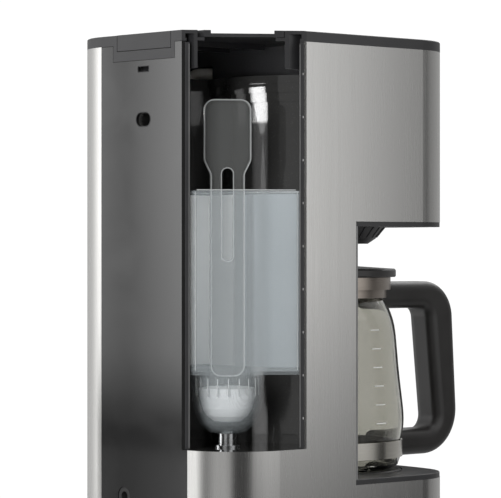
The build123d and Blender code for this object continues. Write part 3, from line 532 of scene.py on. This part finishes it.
def build_ring_of_ribs():
    """Round rods between two radii and heights, repeated about an upright axis."""
    tree, given, taken = shape_tree("ring of ribs", Count="Int", Low_Radius="Float", High_Radius="Float",
                                    Low="Float", High="Float", Thickness="Float", Centre="Vector")
    start = place(tree, "ShaderNodeCombineXYZ", {0: given["Low Radius"], 2: given["Low"]})
    end = place(tree, "ShaderNodeCombineXYZ", {0: given["High Radius"], 2: given["High"]})
    line = place(tree, "GeometryNodeCurvePrimitiveLine",
                 {"Start": start.outputs[0], "End": end.outputs[0]})
    rod = round_rod(tree, line.outputs[0], given["Thickness"], 8)
    points = place(tree, "GeometryNodePoints", {"Count": given["Count"], "Position": given["Centre"]})
    index = place(tree, "GeometryNodeInputIndex").outputs[0]
    angle = maths(tree, "MULTIPLY", index, maths(tree, "DIVIDE", 2 * math.pi, given["Count"]))
    turn = place(tree, "ShaderNodeCombineXYZ", {2: angle})
    ring = copies(tree, points.outputs[0], rod, Rotation=turn.outputs[0])
    return close_tree(tree, ring, given, taken)


def build_row_of_blocks():
    """Small blocks evenly spaced between two points."""
    tree, given, taken = shape_tree("row of blocks", Count="Int", Start="Vector", End="Vector",
                                    Size="Vector", Turn="Float")
    line = place(tree, "GeometryNodeMeshLine", {
        "Count": given["Count"], "Start Location": given["Start"], "Offset": given["End"],
    }, mode="END_POINTS")
    block = place(tree, "GeometryNodeMeshCube", {"Size": given["Size"]})
    turn = place(tree, "ShaderNodeCombineXYZ", {2: given["Turn"]})
    row = copies(tree, line.outputs[0], block.outputs[0], Rotation=turn.outputs[0])
    return close_tree(tree, row, given, taken)


def build_level_marks():
    """Fine arcs that follow a round vessel: each input vertex holds a radius in X and a height in Z."""
    tree, given, taken = shape_tree("level marks", Centre="Vector", From="Float", Sweep="Float",
                                    Thickness="Float")
    position = place(tree, "GeometryNodeInputPosition").outputs[0]
    spot = place(tree, "ShaderNodeSeparateXYZ", {0: position}).outputs
    height = place(tree, "ShaderNodeCombineXYZ", {2: spot["Z"]})
    there = vector_maths(tree, "ADD", {0: height.outputs[0], 1: given["Centre"]})
    radius = place(tree, "GeometryNodeCaptureAttribute")
    radius.capture_items.new("FLOAT", "Radius")
    feed(tree, radius, {"Geometry": given["Geometry"], "Radius": spot["X"]})
    moved = place(tree, "GeometryNodeSetPosition",
                  {"Geometry": radius.outputs["Geometry"], "Position": there.outputs[0]})
    arc = place(tree, "GeometryNodeCurveArc", {
        "Resolution": 12, "Radius": 1.0, "Start Angle": given["From"], "Sweep Angle": given["Sweep"],
    }, mode="RADIUS")
    arcs = copies(tree, moved.outputs[0], arc.outputs[0], Scale=radius.outputs["Radius"])
    curves = place(tree, "GeometryNodeRealizeInstances", {0: arcs})
    rods = round_rod(tree, curves.outputs[0], given["Thickness"], 6)
    return close_tree(tree, rods, given, taken)


def build_rod_on_path():
    """A round rod along a path of straight runs with rounded corners."""
    tree, given, taken = shape_tree("rod on a path", Thickness="Float", Bend="Float")
    path = place(tree, "GeometryNodeMeshToCurve", {0: given["Geometry"]})
    bent = place(tree, "GeometryNodeFilletCurve", {
        "Curve": path.outputs[0], "Radius": given["Bend"], "Limit Radius": True, "Count": 8,
    }, mode="POLY")
    return close_tree(tree, round_rod(tree, bent.outputs[0], given["Thickness"], 8), given, taken)


SHAPES = {"ribs": build_ring_of_ribs, "blocks": build_row_of_blocks, "marks": build_level_marks,
          "rods": build_rod_on_path}
TREES = {}


def run_tree(kind, name, slot, body, inputs, paths=(), closed=False):
    """Runs a Geometry Nodes tree on some paths, keeps its result as a plain mesh and makes a piece of it."""
    if kind not in TREES:
        TREES[kind] = SHAPES[kind]()
    tree = TREES[kind]
    seed = bpy.data.meshes.new(name + "_seed")
    points, edges = [], []
    for path in paths:
        first = len(points)
        points.extend(path)
        edges.extend((i, i + 1) for i in range(first, len(points) - 1))
        if closed:
            edges.append((len(points) - 1, first))
    seed.from_pydata(points, edges, [])
    holder = bpy.data.objects.new(name + "_seed", seed)
    bpy.context.scene.collection.objects.link(holder)
    modifier = holder.modifiers.new("shape", "NODES")
    modifier.node_group = tree
    sockets = {item.name: item.identifier for item in tree.interface.items_tree
               if item.item_type == "SOCKET" and item.in_out == "INPUT"}
    for socket, value in {**inputs, "Material": finish(slot)}.items():
        modifier[sockets[socket]] = value
    holder.update_tag()
    depsgraph = bpy.context.evaluated_depsgraph_get()
    mesh = bpy.data.meshes.new_from_object(holder.evaluated_get(depsgraph), depsgraph=depsgraph)
    if not mesh.polygons:
        raise RuntimeError("the tree for " + name + " made no faces")
    holder.modifiers.remove(modifier)
    bpy.data.objects.remove(holder)
    form = bmesh.new()
    form.from_mesh(mesh)
    bpy.data.meshes.remove(mesh)
    return keep(name, mesh_from(form, name), slot, body)


# ---------------------------------------------------------------- operators
class COFFEE_OT_finishes(bpy.types.Operator):
    """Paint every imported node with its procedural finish"""

    bl_idname = "coffee.finishes"
    bl_label = "Finishes"

    def execute(self, context):
        slots = {part["node"]: part["material_slot"] for part in frame["record"]["subparts"]}
        slots.update({"rear_panel": "back_panel", "carafe_band": "carafe_ring", "cup_cap": "cup_clear",
                      "filter_cup": "cup_clear"})
        for name, node in frame["nodes"].items():
            node.data.materials.clear()
            node.data.materials.append(finish(slots[name]))
        return {"FINISHED"}


def on_chord(along, out, z):
    """A point of the corner opening: along the chord from its side edge, out from its plane, and up."""
    return CHORD_SIDE - CHORD_ALONG * along + CHORD_OUT * out + UP * z


def on_wand(across, out, z):
    """A point of the wand's own plane."""
    return WAND + CHORD_ALONG * across + CHORD_OUT * out + UP * z


def front_at(x):
    """Where the bowed front stands at a given x."""
    return FRONT_CENTRE_Y - math.sqrt(FRONT_RADIUS ** 2 - x * x)


class COFFEE_OT_corner_trims(bpy.types.Operator):
    """Trim both upright edges of the corner opening"""

    bl_idname = "coffee.corner_trims"
    bl_label = "Corner trims"

    def execute(self, context):
        low, high, width = 0.0756, 0.3748, sizes().trim_width
        side_gap, gap, depth, rounding = 0.0021, 0.0001, 0.0009, 0.0003
        form = bmesh.new()
        for near in (side_gap, CHORD_LENGTH - 0.0024 - width):
            add_bar(form, on_chord(near, gap, low), CHORD_ALONG * -width, CHORD_OUT * depth,
                    UP * (high - low), rounding)
        keep("corner_trims", mesh_from(form, "corner_trims"), "black_cover", "housing")
        out, end_gap = 0.0011, 0.001
        beads = [[on_chord(near, out, low + end_gap), on_chord(near, out, high - end_gap)]
                 for near in (side_gap + width * 0.9, CHORD_LENGTH - 0.0022 - width)]
        run_tree("rods", "trim_beads", "grey_trim", "housing", {"Thickness": 0.0006, "Bend": 0.0}, beads)
        turn = math.atan2(CHORD_ALONG.y, CHORD_ALONG.x)
        run_tree("blocks", "trim_notches", "notch", "housing",
                 {"Count": sizes().notch_count, "Start": on_chord(0.0027, 0.0010, 0.098),
                  "End": on_chord(0.0027, 0.0010, 0.352), "Size": (0.0006, 0.0006, 0.0016), "Turn": turn})
        return {"FINISHED"}


def inner_wall_line(inset, steps=26):
    """Plan of the tank's inner wall, from the rear along its flat side and round the bulge."""
    side, reach = 0.0356 - inset, 0.0909 + inset
    start = math.acos(side / reach)
    end = math.acos(-0.0560 / reach)
    line = [Vector((side, 0.1090, 0.0)), Vector((side, 0.070, 0.0))]
    for count in range(steps + 1):
        angle = start + (end - start) * count / steps
        line.append(Vector((reach * math.cos(angle), CARAFE_Y + reach * math.sin(angle), 0.0)))
    return line


class COFFEE_OT_tank(bpy.types.Operator):
    """Line the tank with an inner wall carrying painted light and shade, and bead its rim"""

    bl_idname = "coffee.tank"
    bl_label = "Tank"

    def execute(self, context):
        # The inner wall is a sheet that carries painted light and shade.
        outer, inner = inner_wall_line(0.0003), inner_wall_line(0.0008)
        low, high = 0.1332, 0.2645
        form = bmesh.new()
        columns = [[form.verts.new(point + UP * z) for point, z in
                    ((o, low), (o, high), (i, high), (i, low))] for o, i in zip(outer, inner)]
        for here, there in zip(columns, columns[1:]):
            for k in range(4):
                form.faces.new((here[k], here[(k + 1) % 4], there[(k + 1) % 4], there[k]))
        form.faces.new(columns[0])
        form.faces.new(reversed(columns[-1]))
        keep("tank_wall_painted_light", mesh_from(form, "tank_wall_painted_light"), "wall_painted_light", "housing")
        # The rim bead is a raised rim in the lighter rim colour, a painted highlight.
        rim = [[point + UP * 0.2662 for point in inner_wall_line(-0.0011)]]
        run_tree("rods", "tank_rim_bead", "smoke_rim", "housing", {"Thickness": 0.0014, "Bend": 0.0}, rim)
        # Lighter lines down both front edges of the tank and along its top: painted edge highlights in the
        # rim colour.
        back = -0.0042
        edges = [[on_chord(along, back, 0.1335), on_chord(along, back, 0.2650)]
                 for along in (0.0062, CHORD_LENGTH - 0.0105)]
        edges.append([on_chord(along, back, 0.2665) for along in (0.0075, CHORD_LENGTH - 0.0115)])
        run_tree("rods", "tank_edge_painted_highlights", "smoke_rim", "housing", {"Thickness": 0.0010, "Bend": 0.0}, edges)
        return {"FINISHED"}


class COFFEE_OT_wand(bpy.types.Operator):
    """Raise rims round the wand's paddle and slot, lighter in colour as a painted edge highlight, and rib its
    filter cup
    """

    bl_idname = "coffee.wand"
    bl_label = "Filter wand"

    def execute(self, context):
        outline = ((-12.4, 128), (-12.4, 279), (-17.4, 289.3), (-17.4, 334.4), (17.4, 334.4), (17.4, 289.3),
                   (12.4, 279), (12.4, 128))
        rims = [[on_wand(x * MM, side * 0.0026, z * MM) for x, z in outline] for side in (-1, 1)]
        run_tree("rods", "wand_rims", "smoke_rim", "filter", {"Thickness": 0.0010, "Bend": 0.0075}, rims,
                 closed=True)
        slot = ((-4.6, 213.4), (-4.6, 283.6), (4.6, 283.6), (4.6, 213.4))
        lips = [[on_wand(x * MM, side * 0.0010, z * MM) for x, z in slot] for side in (-1, 1)]
        run_tree("rods", "wand_slot_lips", "smoke_rim", "filter", {"Thickness": 0.0008, "Bend": 0.0045}, lips,
                 closed=True)
        run_tree("ribs", "cup_ribs", "smoke_rim", "filter",
                 {"Count": sizes().rib_count, "Low Radius": 0.0234, "High Radius": 0.0236, "Low": 0.1135,
                  "High": 0.1268, "Thickness": sizes().rib_width, "Centre": WAND})
        return {"FINISHED"}


class COFFEE_OT_basket(bpy.types.Operator):
    """Flute the filter basket and rib the cone under the head"""

    bl_idname = "coffee.basket"
    bl_label = "Basket"

    def execute(self, context):
        axis = Vector((0.0, CARAFE_Y, 0.0))
        run_tree("ribs", "basket_flutes", "black_cover", "filter_basket",
                 {"Count": sizes().flute_count, "Low Radius": 0.0473, "High Radius": 0.0484, "Low": 0.2585,
                  "High": 0.3255, "Thickness": 0.0014, "Centre": axis})
        run_tree("ribs", "nose_ribs", "black_cover", "basket",
                 {"Count": sizes().nose_count, "Low Radius": 0.0458, "High Radius": 0.0528, "Low": 0.2320,
                  "High": 0.2405, "Thickness": 0.0011, "Centre": axis})
        return {"FINISHED"}


class COFFEE_OT_valve_spring(bpy.types.Operator):
    """Wind the drip valve's spring as a fixed coil in place of the imported one; on the real machine it
    shortens as the carafe lifts the valve
    """

    bl_idname = "coffee.valve_spring"
    bl_label = "Valve spring"

    def execute(self, context):
        radius, pitch, low, high = 0.0049, 0.0019, 0.2216, 0.2276
        sides, seat = 16, 0.2284
        steps = round(sides * (high - low) / pitch)
        coil = []
        for count in range(steps + 1):
            turn = 2 * math.pi * count / sides
            coil.append((radius * math.cos(turn), CARAFE_Y + radius * math.sin(turn),
                         low + (high - low) * count / steps))
        spring = run_tree("rods", "valve_spring", "zinc_steel", "basket",
                          {"Thickness": sizes().spring_wire, "Bend": 0.0}, [coil])
        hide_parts("drip_spring")
        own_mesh(spring)
        return {"FINISHED"}


class COFFEE_OT_carafe_marks(bpy.types.Operator):
    """Print the measuring marks on the carafe"""

    bl_idname = "coffee.carafe_marks"
    bl_label = "Carafe marks"

    def execute(self, context):
        skin = ((73, 64.9), (87, 67.3), (97.5, 66.9), (108, 65.7), (126, 63.9), (145, 62.0), (156, 61.0),
                (167, 59.0))
        count, lowest, highest, clearance = sizes().cup_marks, 88.0, 160.0, 0.12
        marks = []
        for number in range(count):
            z = lowest + (highest - lowest) * number / (count - 1)
            low, high = next(pair for pair in zip(skin, skin[1:]) if pair[1][0] >= z)
            radius = low[1] + (high[1] - low[1]) * (z - low[0]) / (high[0] - low[0])
            marks.append([((radius + clearance) * MM, 0.0, z * MM)])
        for side, start in (("left", 178.0), ("right", -4.0)):
            run_tree("marks", "cup_marks_" + side, "mark", "carafe",
                     {"Centre": (0.0, CARAFE_Y, 0.0), "From": math.radians(start),
                      "Sweep": math.radians(9.0), "Thickness": sizes().mark_height}, marks)
        return {"FINISHED"}


def draw_stroke(form, front, start, end, width=0.0005):
    """A flat bar between two (x, z) points, standing just in front of a y value."""
    a, b = Vector((start[0], 0.0, start[1])), Vector((end[0], 0.0, end[1]))
    run = b - a
    across = Vector((-run.z, 0.0, run.x)).normalized() * width
    add_bar(form, a - across / 2 + Vector((0.0, front - 0.00012, 0.0)), run, across,
            Vector((0.0, 0.0002, 0.0)))


def draw_ring(form, front, centre, radius, start=0.0, end=360.0, steps=20):
    """A ring, or part of one, of flat strokes."""
    spots = [(centre[0] + radius * math.cos(math.radians(start + (end - start) * k / steps)),
              centre[1] + radius * math.sin(math.radians(start + (end - start) * k / steps)))
             for k in range(steps + 1)]
    for a, b in zip(spots, spots[1:]):
        draw_stroke(form, front, a, b)


class COFFEE_OT_controls(bpy.types.Operator):
    """Draw the plain symbols on the buttons and the digits of the clock"""

    bl_idname = "coffee.controls"
    bl_label = "Controls"

    def execute(self, context):
        hands = {"hour": (0.0011, 0.0), "minute": (0.0, 0.0014), "brew_later": (-0.0010, -0.0006)}
        for name in ("hour", "minute", "brew_later", "strength", "power"):
            low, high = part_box("button_" + name)
            x, z = (low.x + high.x) / 2, (low.z + high.z) / 2
            form = bmesh.new()
            if name == "power":
                draw_ring(form, low.y, (x, z), 0.0024, 125.0, 415.0)
                draw_stroke(form, low.y, (x, z + 0.0006), (x, z + 0.0034))
            elif name == "strength":
                for k in range(3):
                    left = x - 0.0016 + 0.0016 * k
                    draw_stroke(form, low.y, (left, z - 0.0014), (left, z - 0.0002 + 0.0008 * k), 0.0008)
            else:
                draw_ring(form, low.y, (x, z), 0.0019)
                draw_stroke(form, low.y, (x, z), (x + hands[name][0], z + hands[name][1]))
            keep("symbol_" + name, mesh_from(form, "symbol_" + name), "mark", "button_" + name)
        segments = {"1": "bc", "2": "abged", "0": "abcdef"}
        width, height, foot, shrink, thick = 0.0030, 0.0034, 0.0236, 0.0004, 0.0006
        strokes = {"a": ((0, 2), (1, 2)), "b": ((1, 1), (1, 2)), "c": ((1, 0), (1, 1)), "d": ((0, 0), (1, 0)),
                   "e": ((0, 0), (0, 1)), "f": ((0, 1), (0, 2)), "g": ((0, 1), (1, 1))}
        form = bmesh.new()
        for digit, left in zip("1200", (-0.0088, -0.0034, 0.0046, 0.0100)):
            for letter in segments[digit]:
                a, b = ((left + width * spot[0], foot + height * spot[1]) for spot in strokes[letter])
                run = Vector((b[0] - a[0], b[1] - a[1])).normalized() * shrink
                draw_stroke(form, front_at(left + width / 2), (a[0] + run.x, a[1] + run.y),
                            (b[0] - run.x, b[1] - run.y), thick)
        for z in (0.0258, 0.0282):
            draw_stroke(form, front_at(0.0022), (0.0019, z), (0.0025, z), thick)
        keep("clock_digits", mesh_from(form, "clock_digits"), "glow", "housing")
        return {"FINISHED"}


class COFFEE_OT_rear_collars(bpy.types.Operator):
    """Raise fine collars round the openings in the rear panel"""

    bl_idname = "coffee.rear_collars"
    bl_label = "Rear collars"

    def execute(self, context):
        y = 0.12085
        shapes = (((-5.9, 355.0), (6.7, 355.0), (6.7, 359.4), (-5.9, 359.4)),
                  ((-7.7, 314.2), (8.7, 314.2), (8.7, 325.0), (-7.7, 325.0)))
        for name, outline, bend in zip(("slot", "overflow"), shapes, (0.0006, 0.0053)):
            path = [Vector((x * MM, y, z * MM)) for x, z in outline]
            run_tree("rods", name + "_collar", "black_cover", "housing", {"Thickness": 0.0008, "Bend": bend},
                     [path], closed=True)
        return {"FINISHED"}


class COFFEE_OT_studio(bpy.types.Operator):
    """Set up the pale floor, the soft light and the camera"""

    bl_idname = "coffee.studio"
    bl_label = "Studio"

    def execute(self, context):
        scene = context.scene
        scene.view_settings.view_transform = "Standard"
        light_the_room(scene)
        lay_floor()
        set_cards()
        hang_softboxes()
        aim_camera(scene)
        return {"FINISHED"}


def light_the_room(scene):
    """Soft light that changes round the compass, with a plain pale backdrop."""
    world = bpy.data.worlds.new("studio light")
    scene.world = world
    world.use_nodes = True
    tree = world.node_tree
    tree.nodes.clear()
    generated = place(tree, "ShaderNodeTexCoord").outputs["Generated"]
    direction = place(tree, "ShaderNodeSeparateXYZ", {0: generated}).outputs
    azimuth = maths(tree, "ARCTAN2", direction["Y"], direction["X"])
    turn = maths(tree, "ADD", maths(tree, "DIVIDE", azimuth, 2 * math.pi), 0.5)
    compass = ((-180, 0.40), (-165, 0.43), (-145, 0.43), (-136, 0.40), (-130, 0.20), (-80, 0.40),
               (-30, 0.5), (10, 0.7), (25, 1.3), (40, 1.6), (54, 1.5), (66, 1.15), (76, 0.22), (88, 0.26),
               (98, 0.5), (127, 0.52), (132, 0.05), (158, 0.04), (164, 0.12), (174, 0.36))
    round_light = ramp(tree, turn, *(((degrees + 180.0) / 360.0, value) for degrees, value in compass))
    above = remap(tree, direction["Z"], 0.15, 0.9)
    seen = mix(tree, above, round_light, (0.8, 0.8, 0.8, 1))
    path = place(tree, "ShaderNodeLightPath").outputs
    plain = maths(tree, "MAXIMUM", path["Is Camera Ray"], path["Is Transmission Ray"])
    matt = mix(tree, path["Is Diffuse Ray"], seen, (0.9, 0.9, 0.9, 1))
    studio = place(tree, "ShaderNodeBackground", {"Color": matt, "Strength": 1.0})
    backdrop = place(tree, "ShaderNodeBackground", {"Color": (1, 1, 1, 1), "Strength": 1.05})
    both = place(tree, "ShaderNodeMixShader", {0: plain, 1: studio.outputs[0], 2: backdrop.outputs[0]})
    place(tree, "ShaderNodeOutputWorld", {"Surface": both.outputs[0]})


def stage_object(name, mesh, material):
    """A floor or card of the studio."""
    mesh.materials.append(material)
    made = bpy.data.objects.new(name, mesh)
    bpy.context.scene.collection.objects.link(made)
    return made


def lay_floor():
    """A pale floor that fades into the backdrop."""
    form = bmesh.new()
    bmesh.ops.create_circle(form, cap_ends=True, segments=96, radius=2.6)
    mesh = mesh_from(form, "floor")
    material, tree, surface, coordinates = start_material("pale floor")
    grain = noise(tree, coordinates, 60.0, 3.0)
    reach = vector_maths(tree, "LENGTH", {0: coordinates}).outputs["Value"]
    feed(tree, surface, {
        "Base Color": tinted(tree, grain, (0.9, 0.9, 0.9), 0.99, 1.01), "Roughness": 0.7,
        "Alpha": remap(tree, reach, 0.14, 0.42, 1.0, 0.0, interpolation_type="SMOOTHSTEP")})
    floor = stage_object("floor", mesh, material)
    floor.visible_glossy = False


def hang_card(name, corner, across, rise, glow):
    """A lit card that only shows as a soft reflection; glow turns its tree and its place across and up,
    both from 0 to 1, into a brightness."""
    mesh = bpy.data.meshes.new(name)
    mesh.from_pydata([corner, corner + across, corner + across + rise, corner + rise], [], [(0, 1, 2, 3)])
    material = bpy.data.materials.new(name)
    material.use_nodes = True
    tree = material.node_tree
    tree.nodes.clear()
    coordinates = place(tree, "ShaderNodeTexCoord").outputs["Object"]
    spot = vector_maths(tree, "SUBTRACT", {0: coordinates, 1: corner}).outputs[0]
    shares = [vector_maths(tree, "DOT_PRODUCT", {0: spot, 1: edge / edge.length_squared}).outputs["Value"]
              for edge in (across, rise)]
    light = place(tree, "ShaderNodeEmission", {"Strength": glow(tree, *shares)})
    place(tree, "ShaderNodeOutputMaterial", {"Surface": light.outputs[0]})
    card = stage_object(name, mesh, material)
    card.visible_camera = card.visible_diffuse = card.visible_shadow = card.visible_transmission = False


def set_cards():
    """Cards that give the metal and the polished liner their bands of light."""

    def rear(tree, across, rise):
        rows = ramp(tree, rise, (0.0, 0.22), (0.22, 0.22), (0.225, 0.06), (0.255, 0.09), (0.296, 0.42),
                    (0.35, 0.80), (0.58, 1.0))
        columns = ramp(tree, across, (0.0, 0.95), (0.03, 1.0), (0.23, 0.60), (0.34, 0.32), (0.45, 0.5),
                       (0.66, 0.9))
        return product(tree, rows, columns, 2.4)

    def side(tree, across, rise):
        rows = ramp(tree, rise, (0.0, 0.15), (0.22, 0.30), (0.32, 0.66), (0.42, 1.0), (1.0, 1.0))
        columns = ramp(tree, across, (0.0, 0.06), (0.24, 0.08), (0.34, 0.22), (0.46, 0.72), (0.60, 0.98),
                       (0.82, 0.92), (1.0, 0.7))
        return product(tree, rows, columns, 1.15)

    def bay(tree, across, rise):
        rows = ramp(tree, rise, (0.0, 0.10), (0.20, 0.12), (0.23, 0.12), (0.60, 0.10), (0.90, 0.13),
                    (0.905, 1.0), (1.0, 1.0))
        columns = ramp(tree, across, (0.0, 0.3), (0.12, 0.9), (0.35, 1.0), (0.75, 0.9), (0.88, 0.5),
                       (1.0, 0.2))
        backward = place(tree, "ShaderNodeNewGeometry").outputs["Backfacing"]
        return product(tree, rows, columns, 34.0, maths(tree, "SUBTRACT", 1.0, backward))

    for name, corner, along, rise, glow in (
            ("rear_card", (0.262, 0.42, -0.12), (0.338, 0.0, 0.0), 0.72, rear),
            ("side_card", (-0.54, -0.90, -0.30), (0.0, 1.10, 0.0), 1.20, side),
            ("bay_card", (-0.016, 0.1158, 0.068), (0.048, 0.0, 0.0), 0.284, bay)):
        hang_card(name, Vector(corner), Vector(along), UP * rise, glow)


def hang_softboxes():
    """Soft boxes: (compass direction, elevation, distance, width, height, brightness)."""
    boxes = {"top_box": (100, 72, 1.5, 1.2, 1.2, 1.6), "side_box": (205, 30, 1.6, 0.9, 0.5, 1.5),
             "front_box": (290, 35, 1.8, 1.0, 0.8, 2.0), "corner_fill": (114, 8, 1.7, 0.5, 0.8, 20.0)}
    for name, (compass, rise, distance, width, height, brightness) in boxes.items():
        lamp_data = bpy.data.lights.new(name, "AREA")
        lamp_data.shape, lamp_data.size, lamp_data.size_y = "RECTANGLE", width, height
        lamp_data.energy = brightness * width * height * math.pi
        made = bpy.data.objects.new(name, lamp_data)
        bpy.context.scene.collection.objects.link(made)
        a, e = math.radians(compass), math.radians(rise)
        out = Vector((math.cos(a) * math.cos(e), math.sin(a) * math.cos(e), math.sin(e)))
        made.location = Vector((0.0, 0.0, 0.2)) + out * distance
        made.rotation_mode = "QUATERNION"
        made.rotation_quaternion = (-out).to_track_quat("-Z", "Y")
        made.visible_glossy = name != "corner_fill"


def aim_camera(scene):
    """A long lens, level with the middle of the machine, behind its open corner."""
    view = bpy.data.cameras.new("camera")
    view.lens, view.sensor_width = 197.5, 36.0
    view.clip_start, view.clip_end = 0.1, 30.0
    camera = bpy.data.objects.new("camera", view)
    scene.collection.objects.link(camera)
    camera.location = (-1.5658, 1.4476, 0.2229)
    camera.rotation_mode = "QUATERNION"
    camera.rotation_quaternion = Vector((0.7373, -0.6756, 0.0)).to_track_quat("-Z", "Y")
    scene.camera = camera


OPERATORS = (COFFEE_OT_finishes, COFFEE_OT_corner_trims, COFFEE_OT_tank, COFFEE_OT_wand,
             COFFEE_OT_basket, COFFEE_OT_valve_spring, COFFEE_OT_carafe_marks, COFFEE_OT_controls,
             COFFEE_OT_rear_collars, COFFEE_OT_studio)


class COFFEE_PT_sidebar(bpy.types.Panel):
    """Sizes, colours and pieces of the coffee maker"""

    bl_idname = "COFFEE_PT_sidebar"
    bl_label = "Coffee Maker"
    bl_space_type = "VIEW_3D"
    bl_region_type = "UI"
    bl_category = "Coffee Maker"

    def draw(self, context):
        for settings in (context.scene.coffee_maker_sizes, context.scene.coffee_maker_colours):
            for field in settings.__annotations__:
                self.layout.prop(settings, field)
        for operator in OPERATORS:
            self.layout.operator(operator.bl_idname)


CLASSES = (CoffeeMakerColours, CoffeeMakerSizes, *OPERATORS, COFFEE_PT_sidebar)


def register():
    for made in CLASSES:
        bpy.utils.register_class(made)
    bpy.types.Scene.coffee_maker_colours = PointerProperty(type=CoffeeMakerColours)
    bpy.types.Scene.coffee_maker_sizes = PointerProperty(type=CoffeeMakerSizes)


def unregister():
    del bpy.types.Scene.coffee_maker_sizes
    del bpy.types.Scene.coffee_maker_colours
    for made in reversed(CLASSES):
        bpy.utils.unregister_class(made)


def main():
    register()
    for operator in OPERATORS:
        getattr(bpy.ops.coffee, operator.bl_idname.split(".")[1])()


if __name__ == "__main__":
    main()
